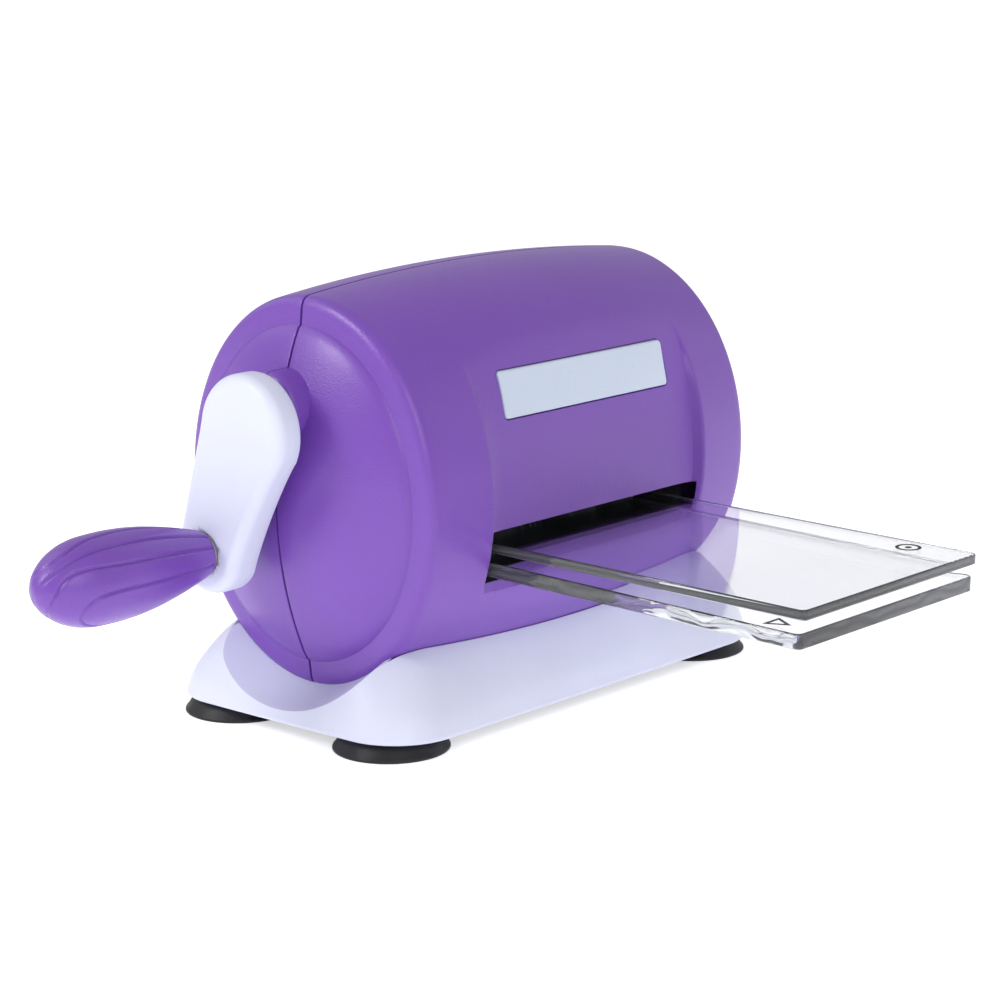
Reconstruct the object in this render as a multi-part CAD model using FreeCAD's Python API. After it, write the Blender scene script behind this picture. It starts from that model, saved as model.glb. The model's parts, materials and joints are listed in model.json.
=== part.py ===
import FreeCAD, Part
import math
import os

from FreeCAD import Matrix, Vector

# Table-top die cutting machine: a barrel-shaped housing on a saddle base with suction feet. A side
# crank turns two geared pressure rollers, which pull a sandwich of two clear plates through a slot.
# Millimetres. While modelling, +X runs along the barrel away from the crank, the plates come out
# towards -Y, and the table is z = 0 under the middle of the base. export() then moves every piece so
# that the origin is under the centre of the whole machine's box.

# ---------------------------------------------------------------- driving dimensions
PLATE_WIDTH = 76.0
PLATE_LENGTH = 152.0
PLATE_CORNER = 2.0
UPPER_PLATE_THICK = 2.7
LOWER_PLATE_THICK = 4.0
UPPER_PLATE_TILT = 1.07
LOWER_PLATE_TILT = 1.6
LOWER_PLATE_SIDE_SHIFT = -2.0
PLATE_FRONT_Y = -140.2
SANDWICH_GAP = 1.45
NIP_Z = 48.225

GEAR_MODULE = 1.25
ROLLER_TEETH = 24
PINION_TEETH = 15
PRESSURE_ANGLE = math.radians(25)
TOOTH_THINNING = 0.15
TOOTH_ABOVE_PITCH = 0.95
TOOTH_BELOW_PITCH = 1.2
FLANK_STEPS = 4
ROOT_STEP = 0.05
ROLLER_SPACING = GEAR_MODULE * ROLLER_TEETH
UPPER_ROLLER_Z = NIP_Z + ROLLER_SPACING / 2
LOWER_ROLLER_Z = NIP_Z - ROLLER_SPACING / 2
CRANK_Z = UPPER_ROLLER_Z + GEAR_MODULE * (ROLLER_TEETH + PINION_TEETH) / 2
ROLLER_CLEARANCE = 0.17
SANDWICH_THICK = UPPER_PLATE_THICK + SANDWICH_GAP + LOWER_PLATE_THICK
ROLLER_RADIUS = (ROLLER_SPACING - SANDWICH_THICK) / 2 - ROLLER_CLEARANCE
ROLLER_HALF_LENGTH = 41.0
JOURNAL_RADIUS = 5.0
RUNNING_GAP = 0.05
JOURNAL_LEFT_END = -56.8
JOURNAL_RIGHT_END = 48.8
ROLLER_CHAMFER = 0.6

# the barrel's outline: distances along X are from the barrel's own middle
BARREL_X = 1.2
BARREL_Z = 63.3
BARREL_FLATTEN = 0.845
CROWN_RADIUS = 55.3
EDGE_X = 62.2
EDGE_RADIUS = 52.0
EDGE_MIDDLE_X = 64.4
EDGE_MIDDLE_RADIUS = 51.0
RIM_X = 65.2
RIM_RADIUS = 48.6
RING_X = 65.8
RING_RADIUS = 44.3
DOME_X = 76.3
DOME_SPHERE = 104.8
EDGE_SLOPE = 0.15
EDGE_DIAGONAL = 0.7
HOUSING_WALL = 2.5
HOUSING_FLOOR_Z = 12.0

PANEL_HALF_WIDTH = 42.5
PANEL_TOP = (-37.4, 97.5)
PANEL_MIDDLE = (-41.3, 79.0)
PANEL_BOTTOM = (-40.6, 41.5)
SLOT_HALF_WIDTH = 41.7
SLOT_BOTTOM_Z = 41.2
SLOT_TOP_Z = 54.7

NAME_PLATE_X = 1.6
NAME_PLATE_HALF_WIDTH = 33.4
NAME_PLATE_BOTTOM_Z = 83.0
NAME_PLATE_TOP_Z = 95.3
NAME_PLATE_PROUD = 0.8
NAME_PLATE_POCKET = 1.0
NAME_PLATE_GAP = 0.05

BASE_BOTTOM_Z = 4.5
BASE_WALL = 2.4
DECK_Z = HOUSING_FLOOR_Z
SADDLE_CLEARANCE = 0.25
# height, half length, half width and corner radius of the base's outline, from the bottom up
BASE_SECTIONS = (
    (4.5, 77.5, 45.5, 18.0),
    (11.0, 76.0, 43.0, 17.5),
    (18.0, 72.5, 38.0, 16.0),
    (24.0, 67.5, 32.0, 14.0),
    (28.5, 61.0, 25.0, 12.0),
)
SCOOP_START_X = 63.0
SCOOP_END_X = 82.0
SCOOP_START_RADIUS = 51.0
SCOOP_FLARE = 0.31
COVER_THICK = 2.0
COVER_INSET = 4.9
COVER_POST_RADIUS = 3.5
COVER_HOLE_DEPTH = 10.0
COVER_SCREW_LENGTH = 9.0
COVER_HEAD_THICK = 1.6

FOOT_X = 62.9
FOOT_Y = 28.0
FOOT_RADIUS = 15.4
FOOT_STUD_RADIUS = 4.0
FOOT_LIP_FLAT = 1.8
FOOT_LIP_THICK = 0.7
FOOT_SHOULDER_RADIUS = 11.0
FOOT_FLARE = (13.9, 2.7)
FOOT_HOLLOW = (7.5, 1.6)
FOOT_HOLLOW_TOP = 2.2
FOOT_CAP_HEIGHT = 2.0
FOOT_CAP_LIP = 1.0

FRAME_INNER_X = 43.5
FRAME_THICK = 3.0
FRAME_HALF_WIDTH = 21.0
FRAME_BOTTOM_Z = 19.5
FRAME_TOP_Z = 99.0
FRAME_CORNER = 8.0
FRAME_FOOT_HALF_WIDTH = 12.0
FRAME_FOOT_Z = HOUSING_FLOOR_Z + HOUSING_WALL
FRAME_FOOT_REACH = 13.0
TIE_ROD_RADIUS = 3.5
TIE_ROD_THREAD_DEPTH = 8.0
TIE_ROD_SCREW_REACH = 7.0
TIE_ROD_PLACES = {
    "upper_front_tie_rod": (-14.0, 89.5),
    "upper_rear_tie_rod": (14.0, 89.5),
    "lower_front_tie_rod": (-17.0, 24.5),
    "lower_rear_tie_rod": (17.0, 24.5),
}
ROLLER_BUSH_RADIUS = 7.5
ROLLER_BUSH_FLANGE = 9.0
CRANK_BUSH_RADIUS = 6.0
CRANK_BEARING_RADIUS = 8.5
CRANK_BUSH_FLANGE = 7.5
BUSH_FLANGE_THICK = 1.0
HOUSING_BUSH_START_X = -73.0
HOUSING_BUSH_END_X = -64.0

GEAR_LEFT_X = -55.5
GEAR_RIGHT_X = -49.5
GEAR_HUB_END_X = -46.9
ROLLER_HUB_RADIUS = 7.5
PINION_HUB_RADIUS = 5.2
RING_THICK = 0.8
RING_WIDTH = 2.0
END_FLOAT = 0.2

GUIDE_HALF_WIDTH = 43.1
GUIDE_MOUTH_HALF_WIDTH = 41.3
GUIDE_WALL = 1.6
GUIDE_OUTER_Y = 37.6
GUIDE_INNER_Y = 15.0
GUIDE_STEP = 0.1

CRANK_SHAFT_RADIUS = 4.0
CRANK_SHAFT_END_X = -41.2
COLLAR_RADIUS = 9.6
COLLAR_OUTER_X = -77.4
COLLAR_ROOT_X = -60.0
COLLAR_SEAT_GAP = 0.3
COLLAR_BORE = 4.6
COLLAR_ROUND = 1.6
ARM_INNER_X = -80.0
ARM_OUTER_X = -88.0
# the arm's big end is centred a little below the crank's own axis
ARM_BIG_Y = -0.3
ARM_BIG_Z = 82.9
ARM_BIG_RADIUS = 15.1
ARM_SMALL_RADIUS = 11.0
ARM_HOLLOW_FRONT = 1.7
ARM_HOLLOW_REAR = 0.1
ARM_ROUND = 2.4
ARM_SOCKET_DEPTH = 6.0
GRIP_Y = 12.4
GRIP_Z = 50.3
GRIP_START_X = -88.5
GRIP_TIP_X = -145.6
# distance from the arm end and radius of the grip's outline, without its tip
GRIP_OUTLINE = ((0.0, 6.1), (10.5, 8.8), (20.0, 10.6), (32.0, 11.6), (41.0, 11.2), (49.0, 8.5), (54.2, 4.9))
GRIP_SPLIT_ANGLE = 27.4
GRIP_AXLE_RADIUS = 3.0
GRIP_AXLE_HEAD = 4.4
GRIP_BUSH_RADIUS = 4.8
GRIP_BUSH_END_X = -117.0
GRIP_HEAD_ROOM = 5.0
GRIP_HEAD_THICK = 3.0
GRIP_HEAD_SPACE = 2.0
GRIP_HEAD_FLOAT = 0.3
GRIP_NECK_SLOPE = 0.3

HOUSING_SCREW_PLACES = ((-57.0, 104.0), (0.0, 105.5), (57.0, 104.0))
HOUSING_BOSS_RADIUS = 4.4
HOUSING_HEAD_Y = 17.0
HOUSING_PILOT_DEPTH = 14.0
HOUSING_SCREW_REACH = 12.0
COVER_SCREW_X = 44.0
COVER_SCREW_Y = 31.0
FRAME_SCREW_X = 38.0
FRAME_SCREW_Y = 8.0
SCREW_RADIUS = 1.5
SCREW_HEAD_RADIUS = 3.0
SCREW_HEAD_THICK = 2.2
HEAD_GAP = 0.1
# how far a cutting tool runs past the face it opens
PAST = 1.0
FAR = 200.0
# closer than this counts as the same place
TOUCHING = 0.01

X_AXIS = Vector(1, 0, 0)
Y_AXIS = Vector(0, 1, 0)
Z_AXIS = Vector(0, 0, 1)


# ---------------------------------------------------------------- helpers
def box(low, high):
    """Box between two corners."""
    size = [b - a for a, b in zip(low, high)]
    return Part.makeBox(size[0], size[1], size[2], Vector(*low))


def rod_x(radius, start, end, y, z):
    """Cylinder along X from start to end."""
    low = min(start, end)
    return Part.makeCylinder(radius, abs(end - start), Vector(low, y, z), X_AXIS)


def rod_y(radius, start, end, x, z):
    """Cylinder along Y from start to end."""
    low = min(start, end)
    return Part.makeCylinder(radius, abs(end - start), Vector(x, low, z), Y_AXIS)


def rod_z(radius, start, end, x, y):
    """Cylinder along Z from start to end."""
    low = min(start, end)
    return Part.makeCylinder(radius, abs(end - start), Vector(x, y, low), Z_AXIS)


def ring_x(outer, inner, start, end, y, z):
    """Tube along X."""
    return rod_x(outer, start, end, y, z).cut(rod_x(inner, start, end, y, z))


def mirrored_x(shape):
    """The same shape on the other side of the machine's middle."""
    return shape.mirror(Vector(0, 0, 0), X_AXIS)


def mirrored_y(shape):
    """The same shape at the back instead of the front."""
    return shape.mirror(Vector(0, 0, 0), Y_AXIS)


def rounded_outline(half_length, half_width, corner, z):
    """Closed wire of a rectangle with round corners, flat at height z."""
    edges = []
    for sx, sy, turn in ((1, 1, 0), (-1, 1, 90), (-1, -1, 180), (1, -1, 270)):
        centre = Vector(sx * (half_length - corner), sy * (half_width - corner), z)
        arc = Part.Circle(centre, Z_AXIS, corner)
        edges.append(Part.Arc(arc, math.radians(turn), math.radians(turn + 90)).toShape())
    ends = [edge.Vertexes for edge in edges]
    sides = [Part.makeLine(ends[i][1].Point, ends[(i + 1) % 4][0].Point) for i in range(4)]
    ordered = [piece for pair in zip(edges, sides) for piece in pair]
    return Part.Wire(ordered)


def rounded_block(half_length, half_width, corner, low, high):
    """Upright block with round corners."""
    face = Part.Face(rounded_outline(half_length, half_width, corner, low))
    return face.extrude(Vector(0, 0, high - low))


def edges_at_x(shape, x):
    """The edges of a shape that lie in the plane at x."""
    return [e for e in shape.Edges if e.BoundBox.XLength < TOUCHING and abs(e.CenterOfMass.x - x) < TOUCHING]


# ---------------------------------------------------------------- barrel shape
def barrel_half_outline(offset):
    """Points of the barrel's outline from its middle to the tip of its end dome, as (x, radius)."""
    dome_centre = DOME_X - DOME_SPHERE
    dome_radius = DOME_SPHERE + offset
    mid_radius = RING_RADIUS / 2
    mid_x = dome_centre + math.sqrt(dome_radius ** 2 - mid_radius ** 2)
    ring_x_place = dome_centre + math.sqrt(DOME_SPHERE ** 2 - RING_RADIUS ** 2)
    slope = EDGE_SLOPE * offset
    diagonal = EDGE_DIAGONAL * offset
    return {
        "middle": (0.0, CROWN_RADIUS + offset),
        "edge": (EDGE_X + slope, EDGE_RADIUS + offset),
        "round": (EDGE_MIDDLE_X + diagonal, EDGE_MIDDLE_RADIUS + diagonal),
        "rim": (RIM_X + offset, RIM_RADIUS + slope),
        "ring": (min(RING_X, ring_x_place) + offset, RING_RADIUS),
        "dome": (mid_x, mid_radius),
        "tip": (DOME_X + offset, 0.0),
    }


def barrel(offset, start_angle=0, sweep=360):
    """The barrel as a flattened solid of revolution, grown or shrunk by offset."""
    right = {key: Vector(x, 0, r) for key, (x, r) in barrel_half_outline(offset).items()}
    left = {key: Vector(-p.x, 0, p.z) for key, p in right.items()}
    edges = [
        Part.Arc(left["tip"], left["dome"], left["ring"]).toShape(),
        Part.makeLine(left["ring"], left["rim"]),
        Part.Arc(left["rim"], left["round"], left["edge"]).toShape(),
        Part.Arc(left["edge"], right["middle"], right["edge"]).toShape(),
        Part.Arc(right["edge"], right["round"], right["rim"]).toShape(),
        Part.makeLine(right["rim"], right["ring"]),
        Part.Arc(right["ring"], right["dome"], right["tip"]).toShape(),
        Part.makeLine(right["tip"], left["tip"]),
    ]
    face = Part.Face(Part.Wire(edges))
    face.rotate(Vector(0, 0, 0), X_AXIS, start_angle)
    solid = face.revolve(Vector(0, 0, 0), X_AXIS, sweep)
    flatten = Matrix()
    flatten.scale(1.0, BARREL_FLATTEN, 1.0)
    solid = solid.transformGeometry(flatten)
    solid.translate(Vector(BARREL_X, 0, BARREL_Z))
    return solid


def panel_cutter(offset):
    """Everything in front of the flat front panel, grown by offset into the housing."""
    points = [Vector(0, y + offset, z) for y, z in (PANEL_TOP, PANEL_MIDDLE, PANEL_BOTTOM)]
    top_out = Vector(0, -FAR, points[0].z)
    bottom = Vector(0, points[2].y, SLOT_BOTTOM_Z - offset)
    bottom_out = Vector(0, -FAR, bottom.z)
    edges = [Part.Arc(points[0], points[1], points[2]).toShape()]
    edges.append(Part.makeLine(points[2], bottom))
    edges.append(Part.makeLine(bottom, bottom_out))
    edges.append(Part.makeLine(bottom_out, top_out))
    edges.append(Part.makeLine(top_out, points[0]))
    face = Part.Face(Part.Wire(edges))
    half = PANEL_HALF_WIDTH + offset
    face.translate(Vector(-half, 0, 0))
    return face.extrude(Vector(2 * half, 0, 0))


def name_plate_place(offset, gap):
    """The part of panel_cutter(offset) over the name plate's place, drawn in by gap all round."""
    half_width = NAME_PLATE_HALF_WIDTH - gap
    low = (NAME_PLATE_X - half_width, -FAR, NAME_PLATE_BOTTOM_Z + gap)
    high = (NAME_PLATE_X + half_width, 0, NAME_PLATE_TOP_Z - gap)
    return panel_cutter(offset).common(box(low, high))


# ---------------------------------------------------------------- housing
def half_shell(side):
    """Half of the housing without its holes: wall, flat floor, panel and bosses. side is -1 in front."""
    floor_cut = box((-FAR, -FAR, -FAR), (FAR, FAR, HOUSING_FLOOR_Z))
    inner_cut = box((-FAR, -FAR, -FAR), (FAR, FAR, HOUSING_FLOOR_Z + HOUSING_WALL))
    panels = [panel_cutter(0.0), panel_cutter(HOUSING_WALL)]
    if side > 0:
        panels = [mirrored_y(panel) for panel in panels]
    start = 0 if side < 0 else 180
    outer = barrel(0.0, start, 180).cut(floor_cut).cut(panels[0])
    inner = barrel(-HOUSING_WALL, start, 180).cut(inner_cut).cut(panels[1])
    shell = outer.cut(inner)
    bearing = rod_x(CRANK_BEARING_RADIUS, HOUSING_BUSH_END_X, HOUSING_BUSH_START_X, 0, CRANK_Z)
    posts = [rod_y(HOUSING_BOSS_RADIUS, 0, side * FAR, x, z) for x, z in HOUSING_SCREW_PLACES]
    return shell.fuse([post.common(outer) for post in posts + [bearing]])


def slot_cutter():
    """The feed slot, right through the housing."""
    half = SLOT_HALF_WIDTH
    return box((-half, -FAR, SLOT_BOTTOM_Z), (half, FAR, SLOT_TOP_Z))


def crank_side_cutter():
    """Seat of the crank's bush in the left end wall."""
    return rod_x(CRANK_BUSH_RADIUS, -FAR, HOUSING_BUSH_END_X + PAST, 0, CRANK_Z)


def frame_screw_holes():
    """Holes for the four screws that hold the mechanism down."""
    places = [(sx * FRAME_SCREW_X, sy * FRAME_SCREW_Y) for sx in (-1, 1) for sy in (-1, 1)]
    return [rod_z(SCREW_RADIUS, 0, FRAME_FOOT_Z + FRAME_THICK, x, y) for x, y in places]


def front_housing():
    """Front half shell with the slot, the name plate's pocket and the screw holes."""
    shell = half_shell(-1).cut(slot_cutter()).cut(crank_side_cutter())
    shell = shell.cut(name_plate_place(NAME_PLATE_POCKET, 0.0))
    pilots = [rod_y(SCREW_RADIUS, -HOUSING_PILOT_DEPTH, 0, x, z) for x, z in HOUSING_SCREW_PLACES]
    return shell.cut(pilots + frame_screw_holes())


def rear_housing():
    """Rear half shell with the same panel and slot, and counterbored screw holes."""
    shell = half_shell(1).cut(slot_cutter()).cut(crank_side_cutter())
    cuts = frame_screw_holes()
    for x, z in HOUSING_SCREW_PLACES:
        cuts.append(rod_y(SCREW_RADIUS, 0, HOUSING_HEAD_Y, x, z))
        cuts.append(rod_y(SCREW_HEAD_RADIUS, HOUSING_HEAD_Y, FAR, x, z))
    return shell.cut(cuts)


def name_plate():
    """Blank label plate that sits in the front pocket and follows the panel."""
    return name_plate_place(NAME_PLATE_POCKET, NAME_PLATE_GAP).cut(panel_cutter(-NAME_PLATE_PROUD))


def housing_screws():
    """Screws from the back that pull the two halves together."""
    screws = []
    head_end = HOUSING_HEAD_Y + SCREW_HEAD_THICK
    for x, z in HOUSING_SCREW_PLACES:
        shank = rod_y(SCREW_RADIUS, -HOUSING_SCREW_REACH, HOUSING_HEAD_Y, x, z)
        head = rod_y(SCREW_HEAD_RADIUS - HEAD_GAP, HOUSING_HEAD_Y, head_end, x, z)
        screws.append(shank.fuse(head))
    return Part.makeCompound(screws)


def feed_guide():
    """Black liner behind the front slot: a flat tunnel that leads the plates to the rollers."""
    low = SLOT_BOTTOM_Z - GUIDE_STEP
    high = SLOT_TOP_Z + GUIDE_STEP
    half = GUIDE_HALF_WIDTH
    outside = box((-half, -GUIDE_OUTER_Y, low - GUIDE_WALL), (half, -GUIDE_INNER_Y, high + GUIDE_WALL))
    mouth_half = GUIDE_MOUTH_HALF_WIDTH
    mouth = box((-mouth_half, -FAR, low), (mouth_half, 0, high))
    return outside.cut(mouth)


# ---------------------------------------------------------------- base
def base_outside():
    """Outer shape of the base: a rounded frustum whose sides lean in."""
    wires = [rounded_outline(length, width, corner, z) for z, length, width, corner in BASE_SECTIONS]
    return Part.makeLoft(wires, True, False)


def base_inside():
    """Space inside the base's walls, before the saddle is taken into account."""
    wires = []
    for outline in BASE_SECTIONS:
        z, length, width, corner = (number - BASE_WALL for number in outline)
        wires.append(rounded_outline(length, width, corner, z))
    lowest = BASE_SECTIONS[0]
    room = rounded_outline(lowest[1] - BASE_WALL, lowest[2] - BASE_WALL, lowest[3] - BASE_WALL, 0)
    return Part.makeLoft([room] + wires, True, False)


def end_scoop(offset):
    """Flared elliptical scoop that bares the rim of the housing at the left end."""
    start = SCOOP_START_RADIUS + offset
    end = start + SCOOP_FLARE * (SCOOP_END_X - SCOOP_START_X)
    cone = Part.makeCone(start, end, SCOOP_END_X - SCOOP_START_X, Vector(-SCOOP_START_X, 0, 0), -X_AXIS)
    flatten = Matrix()
    flatten.scale(1.0, BARREL_FLATTEN, 1.0)
    cone = cone.transformGeometry(flatten)
    cone.translate(Vector(0, 0, BARREL_Z))
    return cone


def both_scoops(offset):
    """The scoops at both ends of the base, level with the two rims of the housing."""
    right = mirrored_x(end_scoop(offset))
    right.translate(Vector(2 * BARREL_X, 0, 0))
    return [end_scoop(offset), right]


def base_shell():
    """Saddle base: thin walls, a deck under the housing and posts for the cover's screws."""
    outside = base_outside()
    above_deck = box((-FAR, -FAR, DECK_Z), (FAR, FAR, FAR))
    under_deck = box((-FAR, -FAR, DECK_Z - BASE_WALL), (FAR, FAR, FAR))
    seat = barrel(SADDLE_CLEARANCE).common(above_deck)
    thick_seat = barrel(SADDLE_CLEARANCE + BASE_WALL).common(under_deck)
    body = outside.cut([seat] + both_scoops(0.0))
    cavity = base_inside().cut([thick_seat] + both_scoops(BASE_WALL))
    shell = body.cut(cavity)
    posts = []
    holes = frame_screw_holes()
    for sx in (-1, 1):
        for sy in (-1, 1):
            place = (sx * COVER_SCREW_X, sy * COVER_SCREW_Y)
            post = rod_z(COVER_POST_RADIUS, BASE_BOTTOM_Z + COVER_THICK, FAR, *place)
            posts.append(post.common(body))
            holes.append(rod_z(SCREW_RADIUS, 0, BASE_BOTTOM_Z + COVER_HOLE_DEPTH, *place))
    return shell.fuse(posts).cut(holes)


def cover_outline():
    """Half length, half width and corner radius of the plate that closes the base."""
    _, length, width, corner = BASE_SECTIONS[0]
    return length - COVER_INSET, width - COVER_INSET, corner - COVER_INSET


def base_cover():
    """Flat plate inside the base's bottom edge, with holes for the feet and the screws."""
    low = BASE_BOTTOM_Z
    plate = rounded_block(*cover_outline(), low, low + COVER_THICK)
    cuts = []
    for sx in (-1, 1):
        for sy in (-1, 1):
            cuts.append(rod_z(FOOT_STUD_RADIUS, 0, FAR, sx * FOOT_X, sy * FOOT_Y))
            cuts.append(rod_z(SCREW_RADIUS, 0, FAR, sx * COVER_SCREW_X, sy * COVER_SCREW_Y))
    return plate.cut(cuts)


def cover_screws():
    """Four pan-head screws under the base."""
    screws = []
    for sx in (-1, 1):
        for sy in (-1, 1):
            place = (sx * COVER_SCREW_X, sy * COVER_SCREW_Y)
            head = rod_z(SCREW_HEAD_RADIUS, BASE_BOTTOM_Z - COVER_HEAD_THICK, BASE_BOTTOM_Z, *place)
            shank = rod_z(SCREW_RADIUS, BASE_BOTTOM_Z, BASE_BOTTOM_Z + COVER_SCREW_LENGTH, *place)
            screws.append(head.fuse(shank))
    return Part.makeCompound(screws)


def suction_foot(x, y):
    """Rubber suction foot: flat lip, hollow underside and a stud gripped by the cover."""
    stud_top = BASE_BOTTOM_Z + COVER_THICK
    lip_inner = Vector(FOOT_RADIUS - FOOT_LIP_FLAT, 0, 0)
    lip_outer = Vector(FOOT_RADIUS, 0, 0)
    lip_top = Vector(FOOT_RADIUS, 0, FOOT_LIP_THICK)
    flare = Vector(FOOT_FLARE[0], 0, FOOT_FLARE[1])
    shoulder = Vector(FOOT_SHOULDER_RADIUS, 0, BASE_BOTTOM_Z)
    stud_low = Vector(FOOT_STUD_RADIUS, 0, BASE_BOTTOM_Z)
    stud_high = Vector(FOOT_STUD_RADIUS, 0, stud_top)
    cap_low = Vector(FOOT_STUD_RADIUS + FOOT_CAP_LIP, 0, stud_top)
    cap_high = Vector(FOOT_STUD_RADIUS - FOOT_CAP_LIP, 0, stud_top + FOOT_CAP_HEIGHT)
    top = Vector(0, 0, cap_high.z)
    hollow_top = Vector(0, 0, FOOT_HOLLOW_TOP)
    hollow = Vector(FOOT_HOLLOW[0], 0, FOOT_HOLLOW[1])
    edges = [
        Part.makeLine(lip_inner, lip_outer),
        Part.makeLine(lip_outer, lip_top),
        Part.Arc(lip_top, flare, shoulder).toShape(),
        Part.makeLine(shoulder, stud_low),
        Part.makeLine(stud_low, stud_high),
        Part.makeLine(stud_high, cap_low),
        Part.makeLine(cap_low, cap_high),
        Part.makeLine(cap_high, top),
        Part.makeLine(top, hollow_top),
        Part.Arc(hollow_top, hollow, lip_inner).toShape(),
    ]
    foot = Part.Face(Part.Wire(edges)).revolve(Vector(0, 0, 0), Z_AXIS, 360)
    foot.translate(Vector(x, y, 0))
    return foot


# ---------------------------------------------------------------- frame and rollers
def side_frame():
    """Right side frame: an upright steel plate with a foot bent inwards."""
    width = FRAME_HALF_WIDTH
    middle = (FRAME_BOTTOM_Z + FRAME_TOP_Z) / 2
    half_height = (FRAME_TOP_Z - FRAME_BOTTOM_Z) / 2
    plate = rounded_block(half_height, width, FRAME_CORNER, 0, FRAME_THICK)
    plate.rotate(Vector(0, 0, 0), Y_AXIS, 90)
    plate.translate(Vector(FRAME_INNER_X, 0, middle))
    foot_half = FRAME_FOOT_HALF_WIDTH
    outer_x = FRAME_INNER_X + FRAME_THICK
    web = box((FRAME_INNER_X, -foot_half, FRAME_FOOT_Z), (outer_x, foot_half, FRAME_BOTTOM_Z + PAST))
    foot_x = outer_x - FRAME_FOOT_REACH
    foot = box((foot_x, -foot_half, FRAME_FOOT_Z), (outer_x, foot_half, FRAME_FOOT_Z + FRAME_THICK))
    holes = frame_screw_holes()
    ends = (FRAME_INNER_X - PAST, outer_x + PAST)
    for z in (UPPER_ROLLER_Z, LOWER_ROLLER_Z):
        holes.append(rod_x(ROLLER_BUSH_RADIUS, *ends, 0, z))
    holes.append(rod_x(CRANK_BUSH_RADIUS, *ends, 0, CRANK_Z))
    for y, z in TIE_ROD_PLACES.values():
        holes.append(rod_x(SCREW_RADIUS, *ends, y, z))
    return plate.fuse([web, foot]).removeSplitter().cut(holes)


def flanged_bush(body, flange, bore, z):
    """Flanged bush pressed into the right side frame from the inside."""
    outer_x = FRAME_INNER_X + FRAME_THICK
    sleeve = rod_x(body, FRAME_INNER_X, outer_x, 0, z)
    lip = rod_x(flange, FRAME_INNER_X - BUSH_FLANGE_THICK, FRAME_INNER_X, 0, z)
    hole = rod_x(bore, 0, FAR, 0, z)
    return sleeve.fuse(lip).cut(hole)


def tie_rod(y, z):
    """Round spacer between the two side frames."""
    rod = rod_x(TIE_ROD_RADIUS, -FRAME_INNER_X, FRAME_INNER_X, y, z)
    start = FRAME_INNER_X - TIE_ROD_THREAD_DEPTH
    threads = [rod_x(SCREW_RADIUS, side * start, side * FRAME_INNER_X, y, z) for side in (-1, 1)]
    return rod.cut(threads)


def tie_rod_screws():
    """One screw into each end of each tie rod."""
    screws = []
    tip = FRAME_INNER_X - TIE_ROD_SCREW_REACH
    face = FRAME_INNER_X + FRAME_THICK
    for y, z in TIE_ROD_PLACES.values():
        for side in (-1, 1):
            shank = rod_x(SCREW_RADIUS, side * tip, side * face, y, z)
            head = rod_x(SCREW_HEAD_RADIUS, side * face, side * (face + SCREW_HEAD_THICK), y, z)
            screws.append(shank.fuse(head))
    return Part.makeCompound(screws)


def frame_screws():
    """Four screws up through the base's deck into the feet of the side frames."""
    screws = []
    seat = DECK_Z - BASE_WALL
    for sx in (-1, 1):
        for sy in (-1, 1):
            place = (sx * FRAME_SCREW_X, sy * FRAME_SCREW_Y)
            head = rod_z(SCREW_HEAD_RADIUS, seat - SCREW_HEAD_THICK, seat, *place)
            shank = rod_z(SCREW_RADIUS, seat, FRAME_FOOT_Z + FRAME_THICK, *place)
            screws.append(head.fuse(shank))
    return Part.makeCompound(screws)


def pressure_roller(z):
    """Steel roller with a journal at each end; the left one also carries the gear."""
    drum = rod_x(ROLLER_RADIUS, -ROLLER_HALF_LENGTH, ROLLER_HALF_LENGTH, 0, z)
    rims = [edge for edge in drum.Edges if edge.Closed]
    drum = drum.makeChamfer(ROLLER_CHAMFER, rims)
    journal = rod_x(JOURNAL_RADIUS, JOURNAL_LEFT_END, JOURNAL_RIGHT_END, 0, z)
    return drum.fuse(journal)


def roller_rings(z):
    """Retaining rings at both ends of a roller."""
    outer = JOURNAL_RADIUS + RING_WIDTH
    left = ring_x(outer, JOURNAL_RADIUS, GEAR_LEFT_X, GEAR_LEFT_X - RING_THICK, 0, z)
    start = FRAME_INNER_X + FRAME_THICK + END_FLOAT
    right = ring_x(outer, JOURNAL_RADIUS, start, start + RING_THICK, 0, z)
    return Part.makeCompound([left, right])


def flank_angle(teeth, radius):
    """Half the angle that a tooth spans at a radius, for an involute flank."""
    pitch_radius = GEAR_MODULE * teeth / 2
    base_radius = pitch_radius * math.cos(PRESSURE_ANGLE)
    roll = math.sqrt(max(0.0, (radius / base_radius) ** 2 - 1))
    pitch_half = math.pi / (2 * teeth) - TOOTH_THINNING / (2 * pitch_radius)
    involute_at_pitch = math.tan(PRESSURE_ANGLE) - PRESSURE_ANGLE
    return pitch_half + involute_at_pitch - (roll - math.atan(roll))


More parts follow.
